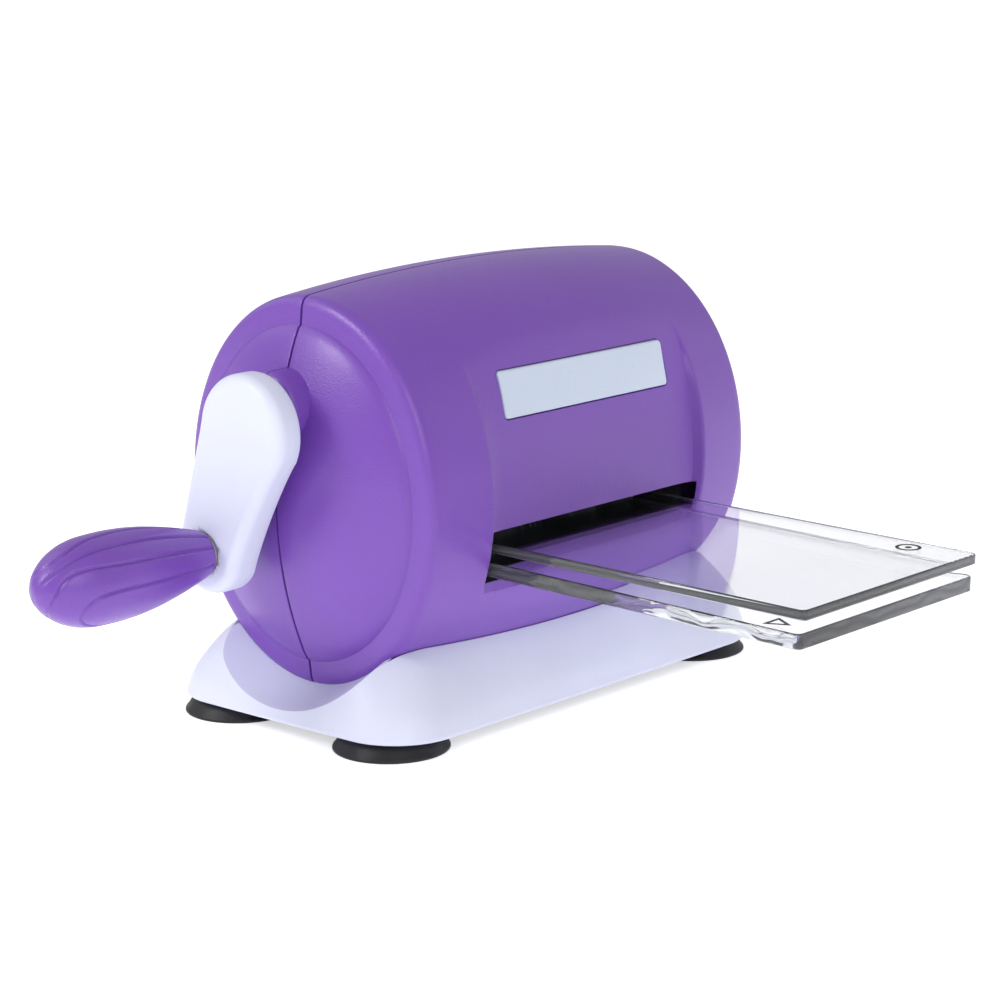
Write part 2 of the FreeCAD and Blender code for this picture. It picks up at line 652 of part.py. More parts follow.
def gear(teeth, first_tooth, z, bore, hub_radius):
    """Spur gear on an X axis with its hub towards the side frame; first_tooth is an angle from +Z."""
    pitch_radius = GEAR_MODULE * teeth / 2
    base_radius = pitch_radius * math.cos(PRESSURE_ANGLE)
    root_radius = pitch_radius - TOOTH_BELOW_PITCH * GEAR_MODULE
    tip_radius = pitch_radius + TOOTH_ABOVE_PITCH * GEAR_MODULE
    foot_radius = max(base_radius, root_radius + ROOT_STEP)
    rise = (tip_radius - foot_radius) / FLANK_STEPS
    radii = [foot_radius + rise * step for step in range(FLANK_STEPS + 1)]

    def point(radius, angle):
        return Vector(GEAR_LEFT_X, radius * math.sin(angle), z + radius * math.cos(angle))

    edges = []
    pitch_angle = 2 * math.pi / teeth
    root_half = flank_angle(teeth, foot_radius)
    for number in range(teeth):
        middle = first_tooth + number * pitch_angle
        rising = [point(r, middle - flank_angle(teeth, r)) for r in radii]
        falling = [point(r, middle + flank_angle(teeth, r)) for r in reversed(radii)]
        root_in = point(root_radius, middle - root_half)
        root_out = point(root_radius, middle + root_half)
        next_root = point(root_radius, middle + pitch_angle - root_half)
        for flank in (rising, falling):
            curve = Part.BSplineCurve()
            curve.interpolate(flank)
            edges.append(curve.toShape())
        edges.insert(-1, Part.Arc(rising[-1], point(tip_radius, middle), falling[0]).toShape())
        edges.insert(-3, Part.makeLine(root_in, rising[0]))
        edges.append(Part.makeLine(falling[-1], root_out))
        edges.append(Part.Arc(root_out, point(root_radius, middle + pitch_angle / 2), next_root).toShape())
    disc = Part.Face(Part.Wire(edges)).extrude(Vector(GEAR_RIGHT_X - GEAR_LEFT_X, 0, 0))
    hub = rod_x(hub_radius, GEAR_RIGHT_X, GEAR_HUB_END_X, 0, z)
    return disc.fuse(hub).cut(rod_x(bore, -FAR, 0, 0, z))


# ---------------------------------------------------------------- crank and grip
def crank_collar():
    """Fixed collar that fills the space between the domed end and the crank arm."""
    disc = rod_x(COLLAR_RADIUS, COLLAR_OUTER_X, COLLAR_ROOT_X, 0, CRANK_Z)
    disc = disc.makeFillet(COLLAR_ROUND, edges_at_x(disc, COLLAR_OUTER_X))
    bore = rod_x(COLLAR_BORE, -FAR, 0, 0, CRANK_Z)
    seat = rod_x(CRANK_BUSH_RADIUS + COLLAR_SEAT_GAP, HOUSING_BUSH_START_X - END_FLOAT, 0, 0, CRANK_Z)
    return disc.cut([barrel(0.0), bore, seat])


def arm_outline():
    """Outline of the crank arm at its inner face: two round ends, and sides that may be hollow."""
    big_end = Vector(ARM_INNER_X, ARM_BIG_Y, ARM_BIG_Z)
    small_end = Vector(ARM_INNER_X, GRIP_Y, GRIP_Z)
    along = small_end - big_end
    lean = math.asin((ARM_BIG_RADIUS - ARM_SMALL_RADIUS) / along.Length)
    along.normalize()
    across = Vector(0, along.z, -along.y)
    sides = []
    for side, hollow in ((1, ARM_HOLLOW_FRONT), (-1, ARM_HOLLOW_REAR)):
        out = across * (side * math.cos(lean)) + along * math.sin(lean)
        start = big_end + out * ARM_BIG_RADIUS
        end = small_end + out * ARM_SMALL_RADIUS
        sides.append((start, (start + end) * 0.5 - out * hollow, end))
    (front_start, front_middle, front_end), (rear_start, rear_middle, rear_end) = sides
    return Part.Wire([
        Part.Arc(rear_start, big_end - along * ARM_BIG_RADIUS, front_start).toShape(),
        Part.Arc(front_start, front_middle, front_end).toShape(),
        Part.Arc(front_end, small_end + along * ARM_SMALL_RADIUS, rear_end).toShape(),
        Part.Arc(rear_end, rear_middle, rear_start).toShape(),
    ])


def crank_arm():
    """White paddle-shaped arm, rounded on its outer face, with sockets for the shaft and the axle."""
    arm = Part.Face(arm_outline()).extrude(Vector(ARM_OUTER_X - ARM_INNER_X, 0, 0))
    arm = arm.makeFillet(ARM_ROUND, edges_at_x(arm, ARM_OUTER_X))
    depth_x = ARM_INNER_X - ARM_SOCKET_DEPTH
    socket = rod_x(CRANK_SHAFT_RADIUS, depth_x, ARM_INNER_X + PAST, 0, CRANK_Z)
    axle_hole = rod_x(GRIP_AXLE_RADIUS, depth_x, ARM_OUTER_X - PAST, GRIP_Y, GRIP_Z)
    return arm.cut([socket, axle_hole])


def crank_shaft():
    """Steel shaft from the arm through the end wall and the pinion to the left side frame."""
    return rod_x(CRANK_SHAFT_RADIUS, ARM_INNER_X - ARM_SOCKET_DEPTH, CRANK_SHAFT_END_X, 0, CRANK_Z)


def crank_shaft_ring():
    """Retaining ring at the inner end of the crank shaft."""
    start = -FRAME_INNER_X + BUSH_FLANGE_THICK + END_FLOAT
    outer = CRANK_SHAFT_RADIUS + RING_WIDTH
    return ring_x(outer, CRANK_SHAFT_RADIUS, start, start + RING_THICK, 0, CRANK_Z)


def housing_crank_bush():
    """Plain bush that carries the crank shaft in the end wall, clamped between the two halves."""
    bore = CRANK_SHAFT_RADIUS + RUNNING_GAP
    return ring_x(CRANK_BUSH_RADIUS, bore, HOUSING_BUSH_START_X, HOUSING_BUSH_END_X, 0, CRANK_Z)


def grip_solid():
    """Egg-shaped grip as one solid of revolution about its axle."""
    outline = [Vector(GRIP_START_X - d, GRIP_Y, GRIP_Z + r) for d, r in GRIP_OUTLINE]
    tip = Vector(GRIP_TIP_X, GRIP_Y, GRIP_Z)
    neck_centre = Vector(GRIP_START_X, GRIP_Y, GRIP_Z)
    curve = Part.BSplineCurve()
    neck_tangent = Vector(-1, 0, GRIP_NECK_SLOPE)
    curve.interpolate(Points=outline + [tip], InitialTangent=neck_tangent, FinalTangent=-Z_AXIS)
    edges = [Part.makeLine(neck_centre, outline[0]), curve.toShape(), Part.makeLine(tip, neck_centre)]
    return Part.Face(Part.Wire(edges)).revolve(neck_centre, X_AXIS, 360)


def grip_half(side):
    """One moulded half of the grip; side is 1 for the half on the +Y side of its split."""
    bush_seat = rod_x(GRIP_BUSH_RADIUS, GRIP_START_X + PAST, GRIP_BUSH_END_X, GRIP_Y, GRIP_Z)
    head_end = GRIP_BUSH_END_X - GRIP_HEAD_THICK - GRIP_HEAD_SPACE
    head_room = rod_x(GRIP_HEAD_ROOM, GRIP_BUSH_END_X, head_end, GRIP_Y, GRIP_Z)
    half_space = box((-FAR, 0, -FAR), (FAR, FAR, FAR))
    if side < 0:
        half_space = mirrored_y(half_space)
    half_space.rotate(Vector(0, 0, 0), X_AXIS, GRIP_SPLIT_ANGLE)
    half_space.translate(Vector(0, GRIP_Y, GRIP_Z))
    return grip_solid().cut([bush_seat, head_room]).common(half_space)


def grip_bush():
    """Plain sleeve that turns on the axle inside the grip."""
    bore = GRIP_AXLE_RADIUS + RUNNING_GAP
    return ring_x(GRIP_BUSH_RADIUS, bore, GRIP_START_X, GRIP_BUSH_END_X, GRIP_Y, GRIP_Z)


def grip_axle():
    """Shoulder pin fixed in the arm; its head keeps the grip on."""
    start = ARM_INNER_X - ARM_SOCKET_DEPTH
    pin = rod_x(GRIP_AXLE_RADIUS, start, GRIP_BUSH_END_X - GRIP_HEAD_THICK, GRIP_Y, GRIP_Z)
    head_x = GRIP_BUSH_END_X - GRIP_HEAD_FLOAT
    head = rod_x(GRIP_AXLE_HEAD, head_x, head_x - GRIP_HEAD_THICK, GRIP_Y, GRIP_Z)
    return pin.fuse(head)


# ---------------------------------------------------------------- plates
def clear_plate(thick, tilt, underside_z, side_shift):
    """Clear plate with round corners, tilted about X; its underside crosses underside_z at the nip."""
    plate = rounded_block(PLATE_WIDTH / 2, PLATE_LENGTH / 2, PLATE_CORNER, 0, thick)
    middle_y = PLATE_FRONT_Y + PLATE_LENGTH / 2
    plate.translate(Vector(side_shift, middle_y, underside_z))
    plate.rotate(Vector(0, 0, underside_z), X_AXIS, tilt)
    return plate


def upper_plate():
    """Thin plate that rides under the upper roller."""
    underside = NIP_Z + SANDWICH_THICK / 2 - UPPER_PLATE_THICK
    return clear_plate(UPPER_PLATE_THICK, UPPER_PLATE_TILT, underside, 0.0)


def lower_plate():
    """Thick plate that rides on the lower roller."""
    underside = NIP_Z - SANDWICH_THICK / 2
    return clear_plate(LOWER_PLATE_THICK, LOWER_PLATE_TILT, underside, LOWER_PLATE_SIDE_SHIFT)


# ---------------------------------------------------------------- export
def machine_shift():
    """Move from the modelling origin to the point under the centre of the whole machine's box."""
    low_x = GRIP_TIP_X
    high_x = FOOT_X + FOOT_RADIUS
    low_y = PLATE_FRONT_Y
    high_y = max(section[2] for section in BASE_SECTIONS)
    return Vector(-(low_x + high_x) / 2, -(low_y + high_y) / 2, 0)


def export(name, shape):
    """Write one sub-part as its own STEP file."""
    shape.translate(machine_shift())
    shape.exportStep(os.path.join("parts", name + ".step"))


def build_casing():
    export("front_housing", front_housing())
    export("rear_housing", rear_housing())
    export("name_plate", name_plate())
    export("housing_screws", housing_screws())
    export("front_feed_guide", feed_guide())
    export("rear_feed_guide", mirrored_y(feed_guide()))
    export("crank_collar", crank_collar())


def build_base():
    export("base_shell", base_shell())
    export("base_cover", base_cover())
    export("base_cover_screws", cover_screws())
    for depth, sy in (("front", -1), ("rear", 1)):
        for side, sx in (("left", -1), ("right", 1)):
            export(f"{depth}_{side}_suction_foot", suction_foot(sx * FOOT_X, sy * FOOT_Y))


def build_frame():
    export("right_side_frame", side_frame())
    export("left_side_frame", mirrored_x(side_frame()))
    for name, (y, z) in TIE_ROD_PLACES.items():
        export(name, tie_rod(y, z))
    export("tie_rod_screws", tie_rod_screws())
    export("frame_screws", frame_screws())
    roller_bore = JOURNAL_RADIUS + RUNNING_GAP
    for level, z in (("upper", UPPER_ROLLER_Z), ("lower", LOWER_ROLLER_Z)):
        bush = flanged_bush(ROLLER_BUSH_RADIUS, ROLLER_BUSH_FLANGE, roller_bore, z)
        export(f"{level}_left_bush", mirrored_x(bush))
        export(f"{level}_right_bush", bush)
    shaft_bore = CRANK_SHAFT_RADIUS + RUNNING_GAP
    crank_bush = flanged_bush(CRANK_BUSH_RADIUS, CRANK_BUSH_FLANGE, shaft_bore, CRANK_Z)
    export("inner_crank_bush", mirrored_x(crank_bush))
    export("outer_crank_bush", housing_crank_bush())


def build_rollers():
    half_pitch = math.pi / ROLLER_TEETH
    for level, z, first_tooth in (("upper", UPPER_ROLLER_Z, 0.0), ("lower", LOWER_ROLLER_Z, half_pitch)):
        export(f"{level}_roller", pressure_roller(z))
        export(f"{level}_roller_gear", gear(ROLLER_TEETH, first_tooth, z, JOURNAL_RADIUS, ROLLER_HUB_RADIUS))
        export(f"{level}_roller_rings", roller_rings(z))


def build_crank():
    export("crank_arm", crank_arm())
    export("crank_shaft", crank_shaft())
    export("crank_shaft_ring", crank_shaft_ring())
    export("drive_pinion", gear(PINION_TEETH, 0.0, CRANK_Z, CRANK_SHAFT_RADIUS, PINION_HUB_RADIUS))
    export("grip_axle", grip_axle())
    export("grip_rear_half", grip_half(1))
    export("grip_front_half", grip_half(-1))
    export("grip_bush", grip_bush())


def main():
    os.makedirs("parts", exist_ok=True)
    build_casing()
    build_base()
    build_frame()
    build_rollers()
    build_crank()
    export("upper_plate", upper_plate())
    export("lower_plate", lower_plate())


main()
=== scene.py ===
import json
import math

import bmesh
import bpy
import numpy as np
from bpy.props import FloatProperty, FloatVectorProperty, IntProperty, PointerProperty
from bpy.types import Operator, Panel, PropertyGroup
from mathutils import Matrix, Vector, kdtree


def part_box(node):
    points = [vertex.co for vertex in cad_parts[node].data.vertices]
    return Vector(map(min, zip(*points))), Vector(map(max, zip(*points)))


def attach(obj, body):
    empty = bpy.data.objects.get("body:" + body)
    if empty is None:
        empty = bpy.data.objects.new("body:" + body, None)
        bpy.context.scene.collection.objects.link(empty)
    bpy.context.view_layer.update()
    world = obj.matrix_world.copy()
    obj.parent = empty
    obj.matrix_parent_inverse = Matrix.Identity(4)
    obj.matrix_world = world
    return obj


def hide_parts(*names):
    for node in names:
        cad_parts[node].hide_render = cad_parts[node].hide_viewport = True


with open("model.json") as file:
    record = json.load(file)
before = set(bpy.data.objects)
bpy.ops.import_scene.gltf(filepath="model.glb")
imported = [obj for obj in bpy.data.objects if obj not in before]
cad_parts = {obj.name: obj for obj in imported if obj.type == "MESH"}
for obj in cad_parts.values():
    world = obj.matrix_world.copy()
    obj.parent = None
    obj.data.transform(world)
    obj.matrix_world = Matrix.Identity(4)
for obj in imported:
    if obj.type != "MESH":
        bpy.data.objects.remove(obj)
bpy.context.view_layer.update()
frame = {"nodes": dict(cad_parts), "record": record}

bl_info = {
    "name": "Die Cutting Machine Looks",
    "version": (1, 0, 0),
    "blender": (4, 5, 0),
    "location": "View3D > Sidebar > Die Cutter",
    "description": "Builds the visible shells, crank, plates and finishes of a table-top die cutting machine",
    "category": "Object",
}

# Lengths in the piece functions are millimetres in the machine's own axes: X runs along the barrel
# away from the crank, the plates come out towards -Y, and the origin is on the table under the rollers.
MM = 0.001
TAU = 2.0 * math.pi


def machine_origin():
    """Row-frame place of the machine's own origin: midway between the side frames, under the rollers."""
    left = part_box("left_side_frame")[0]
    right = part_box("right_side_frame")[1]
    low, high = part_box("lower_roller")
    return Vector(((left.x + right.x) / 2, (low.y + high.y) / 2, 0.0))


MACHINE = machine_origin()
CRANK_Z = sum(c.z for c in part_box("drive_pinion")) / (2 * MM)
GRIP_LOW, GRIP_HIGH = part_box("grip_axle")
GRIP_Y = ((GRIP_LOW.y + GRIP_HIGH.y) / 2 - MACHINE.y) / MM
GRIP_Z = (GRIP_LOW.z + GRIP_HIGH.z) / (2 * MM)


def placed(point):
    """A point in machine millimetres as a place in the row frame."""
    return MACHINE + Vector(point) * MM


# ------------------------------------------------------------------ settings
def length(name, description, default, low=0.0, high=400.0):
    """A size in millimetres."""
    return FloatProperty(name=name, description=description, default=default, min=low, max=high)


def colour(name, description, default):
    """A linear colour."""
    return FloatVectorProperty(name=name, description=description, default=default,
                               subtype="COLOR", size=3, min=0.0, max=1.0)


def share(name, description, default, high=1.0):
    """A plain factor."""
    return FloatProperty(name=name, description=description, default=default, min=0.0, max=high,
                         subtype="FACTOR")


def angle(name, description, default_degrees):
    """An angle."""
    return FloatProperty(name=name, description=description, default=math.radians(default_degrees),
                         subtype="ANGLE", unit="ROTATION")


class DieCutterHousing(PropertyGroup):
    """Barrel-shaped housing"""
    crown_radius: length("Crown radius", "Barrel radius at its middle, in mm", 55.3)
    depth_middle: share("Middle depth", "Front-to-back squash of the barrel at its middle", 0.872)
    depth_rim: share("Rim depth", "Front-to-back squash of the barrel at its rims", 0.852)
    recess_half_width: length("Recess half width", "Half width of the recessed front panel, in mm", 43.0)
    slot_bottom: length("Slot bottom", "Height of the feed slot's lower lip, in mm", 41.2)
    slot_top: length("Slot top", "Height of the feed slot's upper lip, in mm", 54.7)
    wall: length("Wall", "Thickness of the moulded wall, in mm", 2.3)
    seam_gap: length("Seam gap", "Half the gap between the two halves, in mm", 0.40)
    lip_round: length("Lip rounding", "Rounding of the slot's and seam's edges, in mm", 0.5)


class DieCutterBase(PropertyGroup):
    """Saddle base"""
    edge_round: length("Edge rounding", "Rounding where the end scoops cut the base, in mm", 0.9)
    blend_passes: IntProperty(name="Blend passes", description="How softly the seat runs into the end scoops",
                              default=60, min=0, max=400)
    blend_reach: IntProperty(name="Blend reach", description="Points on either side that are softened",
                             default=5, min=1, max=40)


class DieCutterCrank(PropertyGroup):
    """Crank arm and grip"""
    arm_round: length("Arm rounding", "Rounding of the arm's outer edge, in mm", 3.0)
    groove_depth: length("Groove depth", "Depth of the grip's moulded lines, in mm", 0.60)
    groove_width: length("Groove width", "Width of the grip's moulded lines, in mm", 0.42)


class DieCutterPlates(PropertyGroup):
    """Clear cutting plates"""
    edge_break: length("Edge break", "Polished bevel round each plate, in mm", 0.35)
    corner: length("Corner radius", "Corner radius of the plates, in mm", 2.0)


class DieCutterFinish(PropertyGroup):
    """Colours and surface"""
    shell: colour("Housing", "Colour of the housing and the grip", (0.182, 0.064, 0.435))
    white: colour("Base", "Colour of the base and the crank arm", (0.700, 0.725, 0.875))
    label: colour("Label", "Colour of the blank label plate", (0.600, 0.680, 0.820))
    rubber: colour("Feet", "Colour of the suction feet", (0.0045, 0.0048, 0.007))
    dark: colour("Liner", "Colour of the slot liners and the bottom cover", (0.008, 0.008, 0.010))
    steel: colour("Steel", "Colour of the ground and plated steel", (0.560, 0.570, 0.580))
    nylon: colour("Nylon", "Colour of the bushes and gears", (0.720, 0.700, 0.620))
    clear: colour("Plates", "Tint of the clear plates", (0.955, 0.965, 0.990))
    grain_size: length("Grain size", "Size of the moulded grain, in mm", 0.42, 0.05, 5.0)
    grain_depth: share("Grain depth", "Strength of the moulded grain", 0.24)


class DieCutterStage(PropertyGroup):
    """Floor, lights and camera"""
    floor_radius: length("Floor radius", "Radius of the pale floor, in mm", 6000.0, 100.0, 20000.0)
    sky: share("Surround light", "Strength of the soft white surround", 0.52, 4.0)
    key_power: FloatProperty(name="Key light", description="Power of the large overhead light",
                             default=2.5, min=0.0, unit="POWER")
    camera_turn: angle("Camera turn", "Turn of the camera about the vertical", 48.261)
    camera_tip: angle("Camera tip", "How far the camera looks down", 12.357)
    camera_roll: angle("Camera roll", "Roll of the camera about its view", -0.615)
    camera_lens: FloatProperty(name="Lens", description="Focal length of the camera, in mm",
                               default=102.29, min=10.0, max=400.0)
    floor_cells: IntProperty(name="Floor cells", description="Rings of faces in the floor",
                             default=12, min=3, max=64)


def settings(name):
    """One group of this machine's settings."""
    return getattr(bpy.context.scene, "diecutter_" + name)


# ------------------------------------------------------------------ node groups
def new_group(name, inputs, outputs):
    """Empty shader node group with float or colour sockets; returns (tree, input node, output node)."""
    tree = bpy.data.node_groups.new(name, "ShaderNodeTree")
    for direction, sockets in (("INPUT", inputs), ("OUTPUT", outputs)):
        for label, kind, default in sockets:
            socket = tree.interface.new_socket(label, in_out=direction, socket_type="NodeSocket" + kind)
            if default is not None and direction == "INPUT":
                socket.default_value = default
    return tree, tree.nodes.new("NodeGroupInput"), tree.nodes.new("NodeGroupOutput")


def add_node(tree, kind, values=(), **settings_of_node):
    """New shader node with its properties and input values set."""
    node = tree.nodes.new("ShaderNode" + kind)
    for key, value in settings_of_node.items():
        setattr(node, key, value)
    for key, value in dict(values).items():
        node.inputs[key].default_value = value
    return node


def maths(tree, operation, first, second):
    """Math node on two sockets or numbers; returns its output."""
    node = add_node(tree, "Math", operation=operation)
    for index, item in enumerate((first, second)):
        if isinstance(item, (int, float)):
            node.inputs[index].default_value = item
        else:
            tree.links.new(item, node.inputs[index])
    return node.outputs[0]


def moulded_grain_group():
    """Fine satin grain of a textured mould: a bump height, a roughness shift and a slow tint mask."""
    tree, start, end = new_group(
        "Moulded grain",
        [("Size mm", "Float", 0.5), ("Cloud mm", "Float", 30.0)],
        [("Height", "Float", None), ("Gloss shift", "Float", None), ("Tint", "Float", None)])
    place = add_node(tree, "TexCoord")
    fine_scale = maths(tree, "DIVIDE", 1000.0, start.outputs["Size mm"])
    slow_scale = maths(tree, "DIVIDE", 1000.0, start.outputs["Cloud mm"])
    cells = add_node(tree, "TexVoronoi", {"Randomness": 1.0}, feature="SMOOTH_F1")
    fine = add_node(tree, "TexNoise", {"Detail": 3.0, "Roughness": 0.55})
    slow = add_node(tree, "TexNoise", {"Detail": 2.0, "Roughness": 0.5})
    for node, scale in ((cells, fine_scale), (fine, fine_scale), (slow, slow_scale)):
        tree.links.new(place.outputs["Object"], node.inputs["Vector"])
        tree.links.new(scale, node.inputs["Scale"])
    mixed = maths(tree, "ADD", maths(tree, "MULTIPLY", cells.outputs["Distance"], 0.6),
                  maths(tree, "MULTIPLY", fine.outputs["Fac"], 0.6))
    tree.links.new(mixed, end.inputs["Height"])
    gloss = maths(tree, "MULTIPLY", maths(tree, "SUBTRACT", fine.outputs["Fac"], 0.5), 0.16)
    tree.links.new(gloss, end.inputs["Gloss shift"])
    tree.links.new(slow.outputs["Fac"], end.inputs["Tint"])
    return tree


def handling_group():
    """Faint scuffs and dust left by handling: a mask and a bump height."""
    tree, start, end = new_group(
        "Handling marks", [("Scale", "Float", 60.0), ("Amount", "Float", 0.2)],
        [("Mask", "Float", None), ("Height", "Float", None)])
    place = add_node(tree, "TexCoord")
    stretch = add_node(tree, "Mapping", {"Scale": (1.0, 3.5, 0.6), "Rotation": (0.4, 0.2, 0.9)})
    scuff = add_node(tree, "TexNoise", {"Detail": 6.0, "Roughness": 0.7, "Distortion": 0.8})
    ramp = add_node(tree, "ValToRGB")
    ramp.color_ramp.elements[0].position = 0.56
    ramp.color_ramp.elements[1].position = 0.72
    tree.links.new(place.outputs["Object"], stretch.inputs["Vector"])
    tree.links.new(stretch.outputs["Vector"], scuff.inputs["Vector"])
    tree.links.new(start.outputs["Scale"], scuff.inputs["Scale"])
    tree.links.new(scuff.outputs["Fac"], ramp.inputs["Fac"])
    tree.links.new(maths(tree, "MULTIPLY", ramp.outputs["Color"], start.outputs["Amount"]), end.inputs["Mask"])
    tree.links.new(scuff.outputs["Fac"], end.inputs["Height"])
    return tree


def turned_metal_group():
    """Fine rings of turned or ground steel about the X axis: a bump height and a roughness shift."""
    tree, start, end = new_group(
        "Turned metal", [("Scale", "Float", 900.0)],
        [("Height", "Float", None), ("Gloss shift", "Float", None)])
    place = add_node(tree, "TexCoord")
    squeeze = add_node(tree, "Mapping", {"Scale": (1.0, 0.04, 0.04)})
    lines = add_node(tree, "TexNoise", {"Detail": 4.0, "Roughness": 0.6})
    tree.links.new(place.outputs["Object"], squeeze.inputs["Vector"])
    tree.links.new(squeeze.outputs["Vector"], lines.inputs["Vector"])
    tree.links.new(start.outputs["Scale"], lines.inputs["Scale"])
    tree.links.new(lines.outputs["Fac"], end.inputs["Height"])
    shift = maths(tree, "MULTIPLY", maths(tree, "SUBTRACT", lines.outputs["Fac"], 0.5), 0.3)
    tree.links.new(shift, end.inputs["Gloss shift"])
    return tree


def node_group(name):
    """A shared node group, built the first time it is asked for."""
    makers = {"Moulded grain": moulded_grain_group, "Handling marks": handling_group,
              "Turned metal": turned_metal_group}
    return bpy.data.node_groups.get(name) or makers[name]()


# ------------------------------------------------------------------ materials
def bare_material(name):
    """Material with only a Principled shader; returns (material, tree, shader)."""
    material = bpy.data.materials.new(name)
    material.use_nodes = True
    tree = material.node_tree
    return material, tree, tree.nodes["Principled BSDF"]


def group_node(tree, name, values):
    """Place a shared group in a material with its own values."""
    node = tree.nodes.new("ShaderNodeGroup")
    node.node_tree = node_group(name)
    for key, value in values.items():
        node.inputs[key].default_value = value
    return node


def mix_colours(tree, factor, first, second):
    """Blend two colours by a socket; returns the result socket."""
    node = add_node(tree, "Mix", data_type="RGBA")
    tree.links.new(factor, node.inputs["Factor"])
    for key, item in (("A", first), ("B", second)):
        socket = [s for s in node.inputs if s.name == key and s.type == "RGBA"][0]
        if isinstance(item, bpy.types.NodeSocket):
            tree.links.new(item, socket)
        else:
            socket.default_value = (*item, 1.0)
    return [s for s in node.outputs if s.type == "RGBA"][0]


def shade(value, factor):
    """A colour made lighter or darker."""
    return tuple(min(1.0, channel * factor) for channel in value)


def moulded_plastic(name, base, gloss, grain_mm, depth, coat=0.0, scuff=0.10):
    """Satin moulded plastic with fine grain, slow tint variation and faint handling marks."""
    if name in bpy.data.materials:
        return bpy.data.materials[name]
    material, tree, shader = bare_material(name)
    base = tuple(base)
    grain = group_node(tree, "Moulded grain", {"Size mm": grain_mm, "Cloud mm": 34.0})
    marks = group_node(tree, "Handling marks", {"Scale": 45.0, "Amount": scuff})
    tinted = mix_colours(tree, grain.outputs["Tint"], shade(base, 0.94), shade(base, 1.06))
    pale = mix_colours(tree, marks.outputs["Mask"], tinted, shade(base, 1.25))
    tree.links.new(pale, shader.inputs["Base Color"])
    gloss_sum = maths(tree, "ADD", maths(tree, "ADD", grain.outputs["Gloss shift"], gloss),
                      maths(tree, "MULTIPLY", marks.outputs["Mask"], 0.4))
    tree.links.new(gloss_sum, shader.inputs["Roughness"])
    bump = add_node(tree, "Bump", {"Strength": depth, "Distance": 0.0004})
    tree.links.new(grain.outputs["Height"], bump.inputs["Height"])
    tree.links.new(bump.outputs["Normal"], shader.inputs["Normal"])
    shader.inputs["Coat Weight"].default_value = coat
    shader.inputs["Coat Roughness"].default_value = 0.22
    shader.inputs["IOR"].default_value = 1.48
    return material


def shell_plastic():
    """Purple satin plastic of the housing and grip."""
    finish = settings("finish")
    return moulded_plastic("satin_purple", finish.shell, 0.34, finish.grain_size, finish.grain_depth, 0.18)


def white_plastic():
    """Cool white satin plastic of the base and arm."""
    finish = settings("finish")
    return moulded_plastic("satin_white", finish.white, 0.42, finish.grain_size, finish.grain_depth * 0.6,
                           0.0, 0.03)


def label_plastic():
    """Smooth pale plastic of the label plate."""
    return moulded_plastic("label_finish", settings("finish").label, 0.30, 0.9, 0.02, 0.25, 0.03)


def dark_plastic():
    """Black plastic of the slot's liner and the base's cover."""
    return moulded_plastic("black_finish", settings("finish").dark, 0.5, 0.7, 0.15)


def foot_rubber():
    """Black rubber with a slight bloom."""
    return moulded_plastic("rubber_finish", settings("finish").rubber, 0.46, 0.35, 0.12, 0.0, 0.25)


def nylon(name):
    """Natural nylon for bushes and gears."""
    return moulded_plastic(name + "_finish", settings("finish").nylon, 0.38, 0.6, 0.05)


def metal(name, factor, gloss):
    """Ground or plated steel."""
    name += "_finish"
    if name in bpy.data.materials:
        return bpy.data.materials[name]
    material, tree, shader = bare_material(name)
    base = shade(tuple(settings("finish").steel), factor)
    turned = group_node(tree, "Turned metal", {"Scale": 900.0})
    marks = group_node(tree, "Handling marks", {"Scale": 90.0, "Amount": 0.35})
    worn = mix_colours(tree, marks.outputs["Mask"], base, shade(base, 0.7))
    tree.links.new(worn, shader.inputs["Base Color"])
    tree.links.new(maths(tree, "ADD", turned.outputs["Gloss shift"], gloss), shader.inputs["Roughness"])
    bump = add_node(tree, "Bump", {"Strength": 0.12, "Distance": 0.0002})
    tree.links.new(turned.outputs["Height"], bump.inputs["Height"])
    tree.links.new(bump.outputs["Normal"], shader.inputs["Normal"])
    shader.inputs["Metallic"].default_value = 1.0
    return material


def let_light_through(tree, shader, tint):
    """Let light from the lamps and the surround fall through a clear part instead of casting a black shadow."""
    path = add_node(tree, "LightPath")
    passing = add_node(tree, "BsdfTransparent", {"Color": tint + (1.0,)})
    mixed = add_node(tree, "MixShader")
    tree.links.new(path.outputs["Is Shadow Ray"], mixed.inputs[0])
    tree.links.new(shader.outputs["BSDF"], mixed.inputs[1])
    tree.links.new(passing.outputs["BSDF"], mixed.inputs[2])
    tree.links.new(mixed.outputs["Shader"], tree.nodes["Material Output"].inputs["Surface"])


def clear_acrylic():
    """Polished clear acrylic with faint handling haze."""
    if "polished_clear" in bpy.data.materials:
        return bpy.data.materials["polished_clear"]
    material, tree, shader = bare_material("polished_clear")
    base = tuple(settings("finish").clear)
    marks = group_node(tree, "Handling marks", {"Scale": 70.0, "Amount": 0.12})
    hazed = mix_colours(tree, marks.outputs["Mask"], base, shade(base, 0.93))
    tree.links.new(hazed, shader.inputs["Base Color"])
    rough = maths(tree, "ADD", maths(tree, "MULTIPLY", marks.outputs["Mask"], 0.08), 0.004)
    tree.links.new(rough, shader.inputs["Roughness"])
    shader.inputs["Transmission Weight"].default_value = 1.0
    shader.inputs["IOR"].default_value = 1.49
    let_light_through(tree, shader, (0.90, 0.91, 0.94))
    return material


